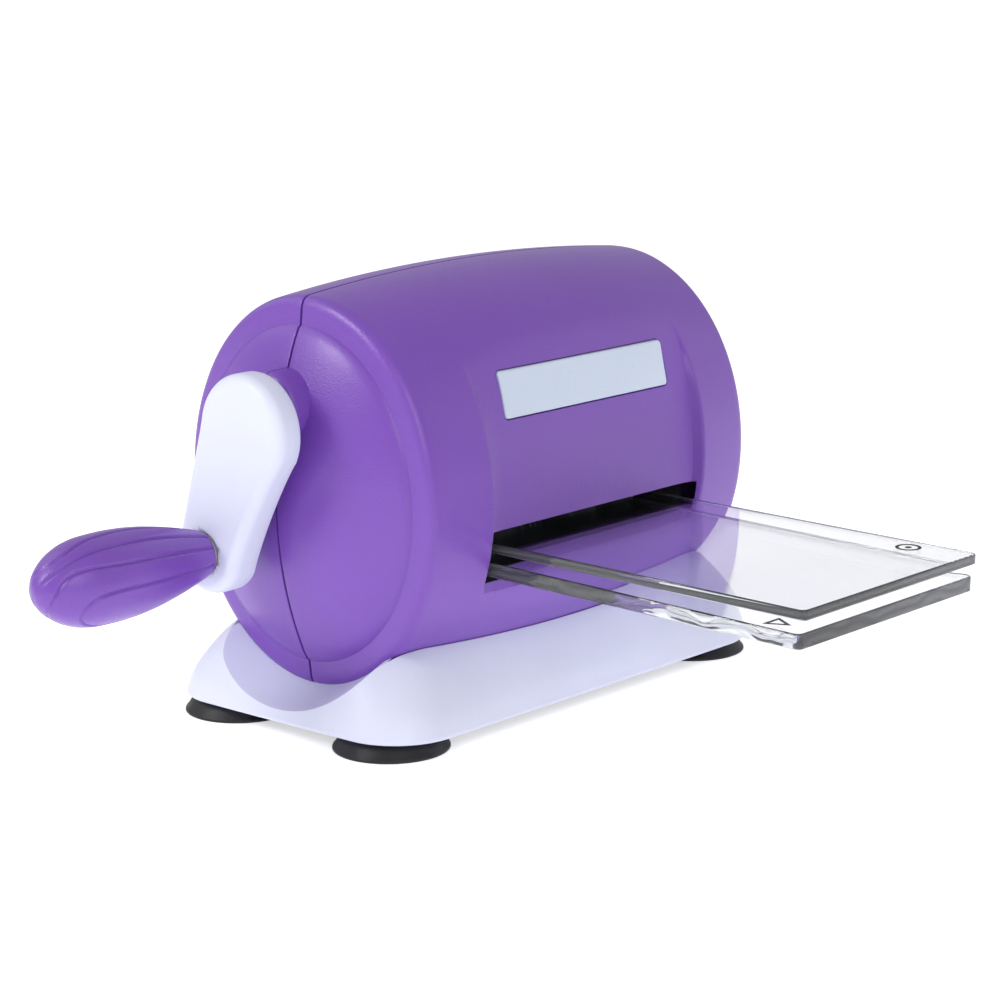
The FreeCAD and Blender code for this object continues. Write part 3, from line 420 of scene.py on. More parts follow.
def edge_acrylic_with_painted_streaks(name, scale, distortion, swirl):
    """Polished edge of a clear plate: grey-blue with painted light and dark reflection streaks, on a faint
    ripple that follows the same lines.
    """
    if name in bpy.data.materials:
        return bpy.data.materials[name]
    material, tree, shader = bare_material(name)
    place = add_node(tree, "TexCoord")
    lines = add_node(tree, "TexWave", {"Scale": scale, "Distortion": distortion, "Detail": 1.5,
                                       "Detail Scale": swirl}, bands_direction="Z")
    tree.links.new(place.outputs["Object"], lines.inputs["Vector"])
    # painted reflection: the wave bands colour the edge from dark grey-blue to near white
    tint = mix_colours(tree, lines.outputs["Fac"], (0.50, 0.53, 0.60), (0.93, 0.94, 0.97))
    tree.links.new(tint, shader.inputs["Base Color"])
    tree.links.new(maths(tree, "ADD", maths(tree, "MULTIPLY", lines.outputs["Fac"], 0.05), 0.02),
                   shader.inputs["Roughness"])
    ripple = add_node(tree, "Bump", {"Strength": 0.15, "Distance": 0.0003})
    tree.links.new(lines.outputs["Fac"], ripple.inputs["Height"])
    tree.links.new(ripple.outputs["Normal"], shader.inputs["Normal"])
    shader.inputs["Transmission Weight"].default_value = 0.9
    shader.inputs["IOR"].default_value = 1.49
    let_light_through(tree, shader, (0.75, 0.77, 0.82))
    return material


def mark_ink():
    """Black screen-printed ink of the plates' marks."""
    return moulded_plastic("mark_ink", (0.012, 0.012, 0.016), 0.55, 0.3, 0.2)


# ------------------------------------------------------------------ mesh helpers
def make_piece(name, points, faces, material, body, stands_for=(), edge_angle=35.0):
    """Mesh piece from machine-millimetre points; smooth, with edges sharper than edge_angle kept crisp."""
    mesh = bpy.data.meshes.new(name)
    mesh.from_pydata([placed(p) for p in points], [], faces)
    mesh.validate()
    mesh.update()
    piece = bpy.data.objects.new(name, mesh)
    bpy.context.scene.collection.objects.link(piece)
    for item in material if isinstance(material, (list, tuple)) else (material,):
        mesh.materials.append(item)
    face_outwards(mesh)
    smooth(mesh, edge_angle)
    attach(piece, body)
    if stands_for:
        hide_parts(*stands_for)
    return piece


def face_outwards(mesh):
    """Make all normals consistent and outward, and merge points that coincide."""
    work = bmesh.new()
    work.from_mesh(mesh)
    bmesh.ops.remove_doubles(work, verts=work.verts, dist=0.02 * MM)
    bmesh.ops.recalc_face_normals(work, faces=work.faces)
    work.to_mesh(mesh)
    work.free()


def smooth(mesh, edge_angle):
    """Smooth shading with crisp edges above an angle in degrees."""
    mesh.polygons.foreach_set("use_smooth", [True] * len(mesh.polygons))
    mesh.set_sharp_from_angle(angle=math.radians(edge_angle))


def apply_modifier(piece, kind, **values):
    """Add a modifier, set it and apply it to the mesh."""
    modifier = piece.modifiers.new(kind.title(), kind)
    for key, value in values.items():
        setattr(modifier, key, value)
    bpy.context.view_layer.update()
    graph = bpy.context.evaluated_depsgraph_get()
    mesh = bpy.data.meshes.new_from_object(piece.evaluated_get(graph), preserve_all_data_layers=True,
                                           depsgraph=graph)
    piece.modifiers.remove(modifier)
    old = piece.data
    piece.data = mesh
    mesh.name = piece.name
    bpy.data.meshes.remove(old)
    return piece


def cut_with(piece, points, faces):
    """Take a closed shape out of a piece."""
    mesh = bpy.data.meshes.new("cutter")
    mesh.from_pydata([placed(p) for p in points], [], faces)
    face_outwards(mesh)
    tool = bpy.data.objects.new("cutter", mesh)
    bpy.context.scene.collection.objects.link(tool)
    apply_modifier(piece, "BOOLEAN", object=tool, operation="DIFFERENCE", solver="EXACT")
    bpy.data.objects.remove(tool)
    bpy.data.meshes.remove(mesh)


def round_edges(piece, width, limit=50.0, segments=3):
    """Round all edges sharper than a limit in degrees."""
    apply_modifier(piece, "BEVEL", width=width * MM, segments=segments, limit_method="ANGLE",
                   angle_limit=math.radians(limit), harden_normals=False, use_clamp_overlap=True)
    smooth(piece.data, 35.0)


def grid_faces(rows, columns, closed=False, keep=None):
    """Quads of a grid of points stored row by row; closed joins the last column to the first."""
    faces = []
    last = columns if closed else columns - 1
    for row in range(rows - 1):
        for column in range(last):
            if keep and not keep(row, column):
                continue
            after = (column + 1) % columns
            faces.append((row * columns + column, row * columns + after,
                          (row + 1) * columns + after, (row + 1) * columns + column))
    return faces


def ring_stack(rings, cap_start=True, cap_end=True):
    """Closed rings of equal length joined into a skin, with flat caps at the ends."""
    count = len(rings[0])
    points = [point for ring in rings for point in ring]
    faces = grid_faces(len(rings), count, closed=True)
    if cap_start:
        faces.append(tuple(range(count)))
    if cap_end:
        start = (len(rings) - 1) * count
        faces.append(tuple(range(start, start + count)))
    return points, faces


def merged(parts):
    """Several (points, faces) pairs as one."""
    points, faces = [], []
    for some_points, some_faces in parts:
        start = len(points)
        points.extend(some_points)
        faces.extend(tuple(index + start for index in face) for face in some_faces)
    return points, faces


def turned_x(profile, y, z, steps=96, start=0.0, sweep=TAU):
    """Skin of revolution about an X axis; profile is a list of (x, radius)."""
    closed = sweep >= TAU - 1e-6
    columns = steps if closed else steps + 1
    points = []
    for x, radius in profile:
        for step in range(columns):
            a = start + sweep * step / steps
            points.append((x, y - radius * math.sin(a), z + radius * math.cos(a)))
    return points, grid_faces(len(profile), columns, closed=closed)


def turned_z(profile, x, y, steps=96):
    """Skin of revolution about a vertical axis; profile is a list of (radius, z)."""
    points = []
    for radius, z in profile:
        for step in range(steps):
            a = TAU * step / steps
            points.append((x + radius * math.cos(a), y + radius * math.sin(a), z))
    return points, grid_faces(len(profile), steps, closed=True)


def arc_points(centre, radius, start_degrees, end_degrees, steps):
    """Points of a circular arc in a plane."""
    points = []
    for step in range(steps + 1):
        a = math.radians(start_degrees + (end_degrees - start_degrees) * step / steps)
        points.append((centre[0] + radius * math.cos(a), centre[1] + radius * math.sin(a)))
    return points


def rounded_rectangle(half_length, half_width, corner, steps=10):
    """Outline of a rectangle with round corners, anticlockwise, as (x, y)."""
    outline = []
    for sx, sy, turn in ((1, 1, 0), (-1, 1, 90), (-1, -1, 180), (1, -1, 270)):
        centre = (sx * (half_length - corner), sy * (half_width - corner))
        outline += arc_points(centre, corner, turn, turn + 90, steps)
    return outline


# ------------------------------------------------------------------ barrel shape
BARREL_X = 1.2
BARREL_Z = 63.3
EDGE_X = 62.2
CROWN_BEND = 587.8
EDGE_POINTS = ((62.2, 52.0), (63.1, 51.78), (63.9, 51.35), (64.5, 50.75), (64.95, 49.9), (65.2, 48.9))
RING_POINTS = ((65.35, 47.2), (65.6, 45.4), (65.7, 44.55))
STEP_POINTS = ((65.95, 44.35), (66.3, 44.1))
DOME_CENTRE = -28.5
DOME_SPHERE = 104.8
PANEL_ARC = ((-37.4, 97.5), (-41.3, 79.0), (-40.6, 41.5))


def barrel_radius(along):
    """Radius of the barrel at a distance along X from its middle."""
    crown = settings("housing").crown_radius
    return crown - CROWN_BEND + math.sqrt(CROWN_BEND ** 2 - along ** 2)


def barrel_squash(along):
    """Front-to-back squash at a distance along X from the middle."""
    housing = settings("housing")
    bulge = 1.0 - min(1.0, abs(along) / EDGE_X) ** 2
    return housing.depth_rim + (housing.depth_middle - housing.depth_rim) * bulge


def circle_through(points):
    """Centre and radius of the circle through three points."""
    (ax, ay), (bx, by), (cx, cy) = points
    d = 2 * (ax * (by - cy) + bx * (cy - ay) + cx * (ay - by))
    ux = ((ax**2 + ay**2) * (by - cy) + (bx**2 + by**2) * (cy - ay) + (cx**2 + cy**2) * (ay - by)) / d
    uy = ((ax**2 + ay**2) * (cx - bx) + (bx**2 + by**2) * (ax - cx) + (cx**2 + cy**2) * (bx - ax)) / d
    return ux, uy, math.hypot(ax - ux, ay - uy)


PANEL_CENTRE_Y, PANEL_CENTRE_Z, PANEL_RADIUS = circle_through(PANEL_ARC)


def panel_depth(z):
    """Distance of the recessed panel in front of the middle plane."""
    rise = math.sqrt(max(0.0, PANEL_RADIUS ** 2 - (z - PANEL_CENTRE_Z) ** 2))
    return rise - PANEL_CENTRE_Y


def soft_minimum(first, second, width):
    """The smaller of two numbers, with a rounded change-over of the given width."""
    h = max(width - abs(first - second), 0.0) / width
    return min(first, second) - h * h * width * 0.25


def wall_share(along):
    """0 on the recessed panel, 1 on the outer skin, with a soft foot and a crisp outer edge."""
    width = settings("housing").recess_half_width
    d = abs(along) - width
    if d < -8.0:
        return 0.0
    if d < -0.7:
        return 0.20 * ((d + 8.0) / 7.3) ** 2.4
    if d < 0.5:
        return 0.20 + 0.70 * (d + 0.7) / 1.2
    return 0.90 + 0.10 * math.sin(min(1.0, (d - 0.5) / 0.7) * math.pi / 2)


def barrel_stations():
    """Distances along X from the middle to the edge, closer together at the recess's walls."""
    width = settings("housing").recess_half_width
    plain = [0, 4, 8, 12, 16, 20, 24, 28, 31, 33.5]
    near = [-8, -7, -6, -5, -4, -3, -2.2, -1.5, -1.1, -0.7, -0.5, -0.3, -0.1, 0.1, 0.3, 0.5, 0.6, 0.72,
            0.85, 1.0, 1.25, 1.8, 3.0]
    outer = [48.5, 51, 54, 57, 59.5, 61]
    return plain + [width + d for d in near] + outer


def outer_point(along, theta, side):
    """A point of the outer skin; side is -1 in front. The front and back both have the recess."""
    radius = barrel_radius(along)
    z = BARREL_Z + radius * math.cos(theta)
    depth = barrel_squash(along) * radius * math.sin(theta)
    housing = settings("housing")
    if z > housing.slot_bottom - 0.01 and math.sin(theta) > 0.2:
        flat = soft_minimum(depth, panel_depth(z), 3.0)
        depth = flat + (depth - flat) * wall_share(along)
    return BARREL_X + along, side * depth, z


def theta_samples(along):
    """Angles from the top seam down, with rows exactly on the slot's lips; returns (angles, slot rows)."""
    housing = settings("housing")
    radius = barrel_radius(min(EDGE_X, abs(along)))

    def at_height(z):
        return math.acos((z - BARREL_Z) / radius)

    marks = [(0.0, 30), (at_height(96.0), 34), (at_height(housing.slot_top), 8),
             (at_height(housing.slot_bottom), 14), (at_height(15.0), 10), (math.pi, 0)]
    angles = []
    for (start, steps), (end, _) in zip(marks, marks[1:]):
        angles += [start + (end - start) * step / steps for step in range(steps)]
    first_slot_row = marks[0][1] + marks[1][1]
    return angles + [marks[-1][0]], (first_slot_row, first_slot_row + marks[2][1])


def housing_half(side):
    """Outer skin of one half as (points, faces), open at the slot, the seam and the bottom."""
    profile = []
    for along in barrel_stations():
        profile.append((along, None))
    profile += list(EDGE_POINTS) + list(RING_POINTS) + list(STEP_POINTS)
    dome_steps = 20
    for step in range(1, dome_steps + 1):
        radius = 43.9 * (1 - step / dome_steps)
        profile.append((DOME_CENTRE + math.sqrt(DOME_SPHERE ** 2 - radius ** 2), radius))
    left = [(-along, radius) for along, radius in reversed(profile[1:])]
    stations = left + profile
    angles, slot_rows = theta_samples(0.0)
    columns = len(angles)
    points = []
    for along, radius in stations:
        angles, _ = theta_samples(along)
        for theta in angles:
            if radius is None:
                points.append(outer_point(along, theta, side))
            else:
                depth = settings("housing").depth_rim * radius * math.sin(theta)
                points.append((BARREL_X + along, side * depth, BARREL_Z + radius * math.cos(theta)))
    half_slot = settings("housing").recess_half_width - 0.1 + 0.01

    def solid(row, column):
        inside = all(abs(stations[r][0]) < half_slot for r in (row, row + 1))
        return not (inside and slot_rows[0] <= column < slot_rows[1])

    points = [(x, y + side * settings("housing").seam_gap, z) for x, y, z in points]
    return points, grid_faces(len(stations), columns, keep=solid)


def label_outline(half_width, low_z, high_z, corner):
    """Outline of the label plate in the front view, as (x, z)."""
    middle = (low_z + high_z) / 2
    half_height = (high_z - low_z) / 2
    return [(x, middle + z) for x, z in rounded_rectangle(half_width, half_height, corner, 8)]


LABEL_X = 1.6
LABEL_HALF_WIDTH = 33.4
LABEL_LOW_Z = 83.0
LABEL_HIGH_Z = 95.3
SCREW_PLACES = ((-57.0, 104.0), (0.0, 105.5), (57.0, 104.0))
SCREW_HEAD_Y = 17.0
WELL_RADIUS = 3.3
WELL_OUTSIDE = 4.6
SHANK_RADIUS = 1.4


def label_prism(grow, front, back, corner):
    """Closed shape that follows the panel over the label's place, between two depths from the panel."""
    outline = label_outline(LABEL_HALF_WIDTH + grow, LABEL_LOW_Z - grow, LABEL_HIGH_Z + grow, corner)
    rings = []
    for depth in (front, back):
        rings.append([(LABEL_X + x, -(panel_depth(z) + depth), z) for x, z in outline])
    return ring_stack(rings)


def rod_along_y(radius, start, end, x, z, steps=40):
    """Closed round bar along Y."""
    rings = []
    for y in (start, end):
        rings.append([(x + radius * math.cos(TAU * i / steps), y, z + radius * math.sin(TAU * i / steps))
                      for i in range(steps)])
    return ring_stack(rings)


def build_housing_half(name, side, node):
    """One half of the housing with its wall thickness, openings and rounded lips."""
    housing = settings("housing")
    points, faces = housing_half(side)
    piece = make_piece(name, points, faces, shell_plastic(), "casing", (node,))
    apply_modifier(piece, "SOLIDIFY", thickness=housing.wall * MM, offset=-1.0, use_even_offset=False)
    if side < 0:
        cut_with(piece, *label_prism(0.3, 3.0, -0.9, 1.5))
    else:
        for x, z in SCREW_PLACES:
            cut_with(piece, *rod_along_y(WELL_RADIUS, 5.0, 80.0, x, z))
    round_edges(piece, housing.lip_round)
    return piece


# ------------------------------------------------------------------ operators
# strength of the surround where it is looked at, straight on or through the plates
SEEN_WHITE = 1.05
FLOOR_GLOW = 0.56


class DIECUTTER_OT_stage(Operator):
    """Pale floor, soft lights and the camera"""
    bl_idname = "diecutter.stage"
    bl_label = "Stage"

    def execute(self, context):
        stage = settings("stage")
        self.floor(stage)
        self.lights(context, stage)
        self.camera(context, stage)
        context.scene.view_settings.view_transform = "Standard"
        return {"FINISHED"}

    def floor(self, stage):
        """A white floor that fades out round the machine."""
        rings = []
        for ring in range(1, stage.floor_cells + 1):
            radius = stage.floor_radius * (ring / stage.floor_cells) ** 2
            rings.append([(radius * math.cos(TAU * i / 64), radius * math.sin(TAU * i / 64), -0.05)
                          for i in range(64)])
        points, faces = ring_stack(rings, cap_start=True, cap_end=False)
        mesh = bpy.data.meshes.new("floor")
        mesh.from_pydata([Vector(p) * MM for p in points], [], faces)
        floor = bpy.data.objects.new("floor", mesh)
        bpy.context.scene.collection.objects.link(floor)
        material, tree, shader = bare_material("floor_paper")
        clouds = group_node(tree, "Handling marks", {"Scale": 6.0, "Amount": 0.03})
        paper = mix_colours(tree, clouds.outputs["Mask"], (0.97, 0.97, 0.975), (0.93, 0.93, 0.94))
        tree.links.new(paper, shader.inputs["Base Color"])
        tree.links.new(paper, shader.inputs["Emission Color"])
        shader.inputs["Emission Strength"].default_value = FLOOR_GLOW
        shader.inputs["Roughness"].default_value = 0.85
        mesh.materials.append(material)

    def lights(self, context, stage):
        """The white surround and the area lights."""
        world = bpy.data.worlds.new("soft_surround")
        world.use_nodes = True
        tree = world.node_tree
        back = tree.nodes["Background"]
        back.inputs["Color"].default_value = (1.0, 1.0, 1.0, 1.0)
        path = add_node(tree, "LightPath")
        straight = maths(tree, "MAXIMUM", path.outputs["Is Camera Ray"], path.outputs["Is Transmission Ray"])
        seen = maths(tree, "MULTIPLY", straight, SEEN_WHITE - stage.sky)
        tree.links.new(maths(tree, "ADD", seen, stage.sky), back.inputs["Strength"])
        context.scene.world = world
        for name, power, size, place, aim in (
                ("key_light", stage.key_power, 0.6, (-0.50, -0.80, 0.60), (0.0, 0.0, 0.06)),
                ("side_light", stage.key_power * 1.3, 0.32, (-0.72, 0.38, 0.62), (-0.05, 0.0, 0.08)),
                ("fill_light", stage.key_power * 0.45, 0.9, (0.9, -0.6, 0.35), (0.0, 0.0, 0.06)),
                ("back_light", stage.key_power * 0.3, 0.6, (-0.2, 0.8, 0.7), (0.0, 0.0, 0.08))):
            light = bpy.data.lights.new(name, "AREA")
            light.energy = power
            light.size = size
            lamp = bpy.data.objects.new(name, light)
            context.scene.collection.objects.link(lamp)
            lamp.location = place
            lamp.rotation_euler = (Vector(aim) - Vector(place)).to_track_quat("-Z", "Y").to_euler()

    def camera(self, context, stage):
        """The camera, its lens and its place."""
        turn, tip, roll = stage.camera_turn, stage.camera_tip, stage.camera_roll
        forward = Vector((math.sin(turn) * math.cos(tip), math.cos(turn) * math.cos(tip), -math.sin(tip)))
        level = Vector((math.cos(turn), -math.sin(turn), 0.0))
        upright = level.cross(forward)
        right = math.cos(roll) * level + math.sin(roll) * upright
        up = -math.sin(roll) * level + math.cos(roll) * upright
        matrix = Matrix((right, up, -forward)).transposed().to_4x4()
        matrix.translation = placed((-570.963, -520.186, 219.645))
        data = bpy.data.cameras.new("camera")
        data.sensor_width = 36.0
        data.lens = stage.camera_lens
        data.clip_end = 50.0
        camera = bpy.data.objects.new("camera", data)
        context.scene.collection.objects.link(camera)
        camera.matrix_world = matrix
        context.scene.camera = camera


class DIECUTTER_OT_housing(Operator):
    """Front and rear halves of the barrel-shaped housing"""
    bl_idname = "diecutter.housing"
    bl_label = "Housing"

    def execute(self, context):
        build_housing_half("housing_front", -1, "front_housing")
        build_housing_half("housing_rear", 1, "rear_housing")
        return {"FINISHED"}


class DIECUTTER_OT_label(Operator):
    """Blank label plate in the front pocket"""
    bl_idname = "diecutter.label"
    bl_label = "Label plate"

    def execute(self, context):
        points, faces = label_prism(-0.05, 0.75, -0.85, 1.1)
        piece = make_piece("label_plate", points, faces, label_plastic(), "casing",
                           ("name_plate",))
        round_edges(piece, 0.5, 60.0, 4)
        return {"FINISHED"}


class DIECUTTER_OT_liners(Operator):
    """Black liners behind the front and rear slots"""
    bl_idname = "diecutter.liners"
    bl_label = "Slot liners"

    def execute(self, context):
        for name, side, node in (("front_slot_liner", -1, "front_feed_guide"),
                                 ("rear_slot_liner", 1, "rear_feed_guide")):
            rings = []
            for y, grow in ((38.0, 1.1), (21.6, 1.1), (21.6, 0.0), (38.0, 0.0), (38.0, 1.1)):
                outline = rounded_rectangle(43.2 + grow, 6.95 + grow, 1.0 + grow, 6)
                rings.append([(BARREL_X + x, side * y, 47.95 + z) for x, z in outline])
            points, faces = ring_stack(rings, cap_start=False, cap_end=False)
            make_piece(name, points, faces, dark_plastic(), "casing", (node,))
        return {"FINISHED"}


# the base's outline at each height: height, half length, half width, corner radius
BASE_SECTIONS = ((4.5, 77.5, 45.5, 18.0), (11.0, 76.0, 43.0, 17.5), (18.0, 72.5, 38.3, 16.0),
                 (24.0, 67.5, 33.0, 14.0), (28.5, 61.0, 26.5, 12.0), (34.0, 50.0, 16.0, 9.0))
SCOOP_START = 63.0
SCOOP_RADIUS = 51.0
SCOOP_FLARE = 0.31
SEAT_GAP = 0.5
# the base's bottom rim, from inside to outside: height and distance in from the outline
BOTTOM_EDGE = ((6.5, 4.7), (4.55, 4.7), (4.5, 4.6), (4.5, 1.1), (4.58, 0.62), (4.78, 0.28), (5.1, 0.07),
               (5.5, 0.0))
SIDE_START_Z = 5.5
SIDE_LIMIT_Z = 34.0


def base_section(z):
    """Outline sizes of the base at a height, on a smooth curve through the sections."""
    rows = BASE_SECTIONS
    z = min(max(z, rows[0][0]), rows[-1][0])
    k = max(i for i in range(len(rows) - 1) if rows[i][0] <= z + 1e-9)
    before, start, end, after = rows[max(k - 1, 0)], rows[k], rows[k + 1], rows[min(k + 2, len(rows) - 1)]
    span = end[0] - start[0]
    t = (z - start[0]) / span
    sizes = []
    for item in (1, 2, 3):
        slope_in = (end[item] - before[item]) / (end[0] - before[0]) * span
        slope_out = (after[item] - start[item]) / (after[0] - start[0]) * span
        sizes.append((2 * t**3 - 3 * t**2 + 1) * start[item] + (t**3 - 2 * t**2 + t) * slope_in
                     + (3 * t**2 - 2 * t**3) * end[item] + (t**3 - t**2) * slope_out)
    return sizes


def base_outline(half_length, half_width, corner):
    """Evenly divided outline of the base, with the same count of points at every height."""
    points = []
    for sx, sy, turn, side_steps in ((1, 1, 0, 60), (-1, 1, 90, 24), (-1, -1, 180, 60), (1, -1, 270, 24)):
        centre = (sx * (half_length - corner), sy * (half_width - corner))
        points += arc_points(centre, corner, turn, turn + 90, 36)
        along_x = side_steps == 60
        last = points[-1]
        target = (-last[0], last[1]) if along_x else (last[0], -last[1])
        for step in range(1, side_steps):
            t = step / side_steps
            points.append((last[0] + (target[0] - last[0]) * t, last[1] + (target[1] - last[1]) * t))
    return points


def scoop_side(x):
    """Which end a place belongs to, and its distance past the start of that end's scoop."""
    if x < 0:
        return -1, -x - SCOOP_START
    return 1, x - 2 * BARREL_X - SCOOP_START


def seat_radius(x):
    """Radius of the housing's seat in the base, before it is squashed from front to back."""
    along = abs(x - BARREL_X)
    if along <= EDGE_X:
        return barrel_radius(along) + SEAT_GAP
    radii = [row for row in EDGE_POINTS if row[0] <= along]
    return (radii[-1][1] if radii else 0.0) + SEAT_GAP


def cut_kind(x, y, z):
    """What takes away the base's material at a place: the housing's seat, an end scoop or nothing."""
    along = x - BARREL_X
    if abs(along) <= EDGE_POINTS[-1][0]:
        if math.hypot(y / barrel_squash(along), z - BARREL_Z) < seat_radius(x):
            return "seat"
    past = scoop_side(x)[1]
    reach = math.hypot(y / settings("housing").depth_rim, z - BARREL_Z)
    if past > 0 and reach < SCOOP_RADIUS + SCOOP_FLARE * past:
        return "scoop"
    return None


class DIECUTTER_OT_base(Operator):
    """Saddle base with end scoops"""
    bl_idname = "diecutter.base"
    bl_label = "Base"

    def execute(self, context):
        rows = []
        for z, inset in BOTTOM_EDGE:
            half_length, half_width, corner = base_section(z)
            outline = base_outline(half_length - inset, half_width - inset, corner - inset)
            rows.append([(x, y, z) for x, y in outline])
        count = len(rows[0])
        tops = [self.top_of_side(index) for index in range(count)]
        reach = settings("base").blend_reach
        near = [any(tops[(index + step) % count][1] != kind for step in range(-reach, reach + 1))
                for index, (_, kind) in enumerate(tops)]
        for _ in range(settings("base").blend_passes):
            tops = [(min(z, (tops[index - 1][0] + 2 * z + tops[(index + 1) % count][0]) / 4), kind)
                    if near[index] else (z, kind) for index, (z, kind) in enumerate(tops)]
        side_steps = 34
        for step in range(1, side_steps + 1):
            row = []
            for index in range(count):
                z = SIDE_START_Z + (tops[index][0] - SIDE_START_Z) * step / side_steps
                row.append(self.side_point(index, z))
            rows.append(row)
        for step in range(1, 9):
            rows.append([self.inner_point(index, tops[index], step / 8) for index in range(count)])
        points, faces = ring_stack(rows, cap_start=False, cap_end=False)
        piece = make_piece("base_shell_body", points, faces, white_plastic(), "casing",
                           ("base_shell",))
        round_edges(piece, settings("base").edge_round, 38.0, 4)
        return {"FINISHED"}

    def side_point(self, index, z):
        """A point of the base's side at a height."""
        x, y = base_outline(*base_section(z))[index]
        return x, y, z

    def top_of_side(self, index):
        """Height where the side runs into the seat or a scoop, and which of the two it is."""
        low, high = SIDE_START_Z, SIDE_LIMIT_Z
        step = 0.5
        z = low
        while z < high and not cut_kind(*self.side_point(index, z)):
            z += step
        low, high = z - step, z
        for _ in range(14):
            middle = (low + high) / 2
            if cut_kind(*self.side_point(index, middle)):
                high = middle
            else:
                low = middle
        return low, cut_kind(*self.side_point(index, high))

    def inner_point(self, index, top, share_in):
        """A point of the cut surface, going inwards from the side's top edge."""
        z, kind = top
        x, y, z = self.side_point(index, z)
        if kind == "scoop":
            end, past = scoop_side(x)
            start_x = end * SCOOP_START + (2 * BARREL_X if end > 0 else 0.0)
            squash = settings("housing").depth_rim
            turn = math.atan2(y / squash, BARREL_Z - z)
            here = past * (1 - share_in) - 1.2 * share_in
            radius = math.hypot(y / squash, BARREL_Z - z) + SCOOP_FLARE * (here - past)
            return (start_x + end * here, squash * radius * math.sin(turn), BARREL_Z - radius * math.cos(turn))
        squash = barrel_squash(x - BARREL_X)
        turn = math.atan2(y / squash, BARREL_Z - z)
        radius = math.hypot(y / squash, BARREL_Z - z)
        turn *= 1 - 0.12 * share_in
        return x, squash * radius * math.sin(turn), BARREL_Z - radius * math.cos(turn)


# a foot's section as (radius, height), from the middle of its hollow, round the lip and up
FOOT_PROFILE = ((0.001, 2.2), (3.0, 2.1), (7.5, 1.6), (11.0, 0.85), (13.2, 0.22), (13.7, 0.03), (14.2, 0.0),
                (15.0, 0.0), (15.28, 0.06), (15.4, 0.22), (15.4, 0.55), (15.32, 0.75), (15.05, 1.05),
                (14.6, 1.6), (13.95, 2.6), (13.2, 3.4), (12.2, 4.05), (11.2, 4.4), (10.6, 4.48), (4.0, 4.5))


class DIECUTTER_OT_feet(Operator):
    """Four rubber suction feet"""
    bl_idname = "diecutter.feet"
    bl_label = "Suction feet"

    def execute(self, context):
        for depth in ("front", "rear"):
            for end in ("left", "right"):
                node = f"{depth}_{end}_suction_foot"
                low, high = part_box(node)
                middle = ((low + high) / 2 - MACHINE) / MM
                points, faces = turned_z(FOOT_PROFILE, middle.x, middle.y)
                make_piece(node + "_cup", points, faces, foot_rubber(), "casing", (node,))
        return {"FINISHED"}


# the collar's section as (x, radius), and half the angle of the seam between its halves
COLLAR_PROFILE = ((-66.0, 9.9), (-71.0, 9.75), (-75.6, 9.6), (-76.1, 9.5), (-76.55, 9.25), (-76.95, 8.85),
                  (-77.22, 8.35), (-77.38, 7.7), (-77.4, 6.8), (-77.4, 4.6), (-72.0, 4.5), (-66.0, 4.5),
                  (-66.0, 9.9))
COLLAR_GAP = 0.012


class DIECUTTER_OT_collar(Operator):
    """Collar between the housing's end and the crank arm, parted like the housing"""
    bl_idname = "diecutter.collar"
    bl_label = "Crank collar"

    def execute(self, context):
        halves = [turned_x(COLLAR_PROFILE, 0.0, CRANK_Z, 48, start + COLLAR_GAP, math.pi - 2 * COLLAR_GAP)
                  for start in (0.0, math.pi)]
        points, faces = merged(halves)
        make_piece("crank_collar_ring", points, faces, shell_plastic(), "casing",
                   ("crank_collar",))
        return {"FINISHED"}


ARM_BACK_X = -80.0
ARM_FACE_X = -88.0
ARM_BIG_END = (-0.3, 82.9, 15.1)
ARM_SMALL_END = (GRIP_Y, GRIP_Z, 11.0)
ARM_HOLLOWS = (1.1, 0.1)
ARM_FLARE = 1.5
# the arm's back edge: distance out from the back face and distance in from the outline
ARM_BACK_EDGE = ((0.0, 0.9), (0.12, 0.45), (0.45, 0.12), (0.9, 0.0), (2.5, 0.0))
ARM_CROWN = 0.25
# round pocket in the arm's face that the grip's bush ends in
POCKET_RADIUS = 5.6
POCKET_FLOOR_X = -88.2
POCKET_MOUTH_X = -95.0


def arm_outline(arc_steps=40, side_steps=24):
    """Outline of the crank arm as (y, z): over the big end, down the front, round the small end and up."""
    (by, bz, big), (sy, sz, small) = ARM_BIG_END, ARM_SMALL_END
    span = math.hypot(sy - by, sz - bz)
    ay, az = (sy - by) / span, (sz - bz) / span
    lean = math.asin((big - small) / span)
    reach = math.pi / 2 + lean

    def on_end(y, z, radius, a):
        return (y + radius * (-ay * math.cos(a) + az * math.sin(a)),
                z + radius * (-az * math.cos(a) - ay * math.sin(a)))

    def side(start, end, hollow):
        points = []
        ny, nz = (start[1] - end[1]) / span, -(start[0] - end[0]) / span
        for step in range(1, side_steps):
            t = step / side_steps
            sink = hollow * (1 - (2 * t - 1) ** 2) ** 0.8
            points.append((start[0] + (end[0] - start[0]) * t + ny * sink,
                           start[1] + (end[1] - start[1]) * t + nz * sink))
        return points

    top = [on_end(by, bz, big, -reach + 2 * reach * i / arc_steps) for i in range(arc_steps + 1)]
    bottom = [on_end(sy, sz, small, reach + 2 * (math.pi - reach) * i / arc_steps)
              for i in range(arc_steps + 1)]
    return (top + side(top[-1], bottom[0], ARM_HOLLOWS[0]) + bottom
            + side(bottom[-1], top[0], ARM_HOLLOWS[1]))


def inset_outline(outline, inset):
    """A closed outline moved inwards by a distance."""
    count = len(outline)
    result = []
    for index, (a, b) in enumerate(outline):
        before, after = outline[index - 1], outline[(index + 1) % count]
        da, db = after[0] - before[0], after[1] - before[1]
        size = math.hypot(da, db)
        result.append((a - db / size * inset, b + da / size * inset))
    return result


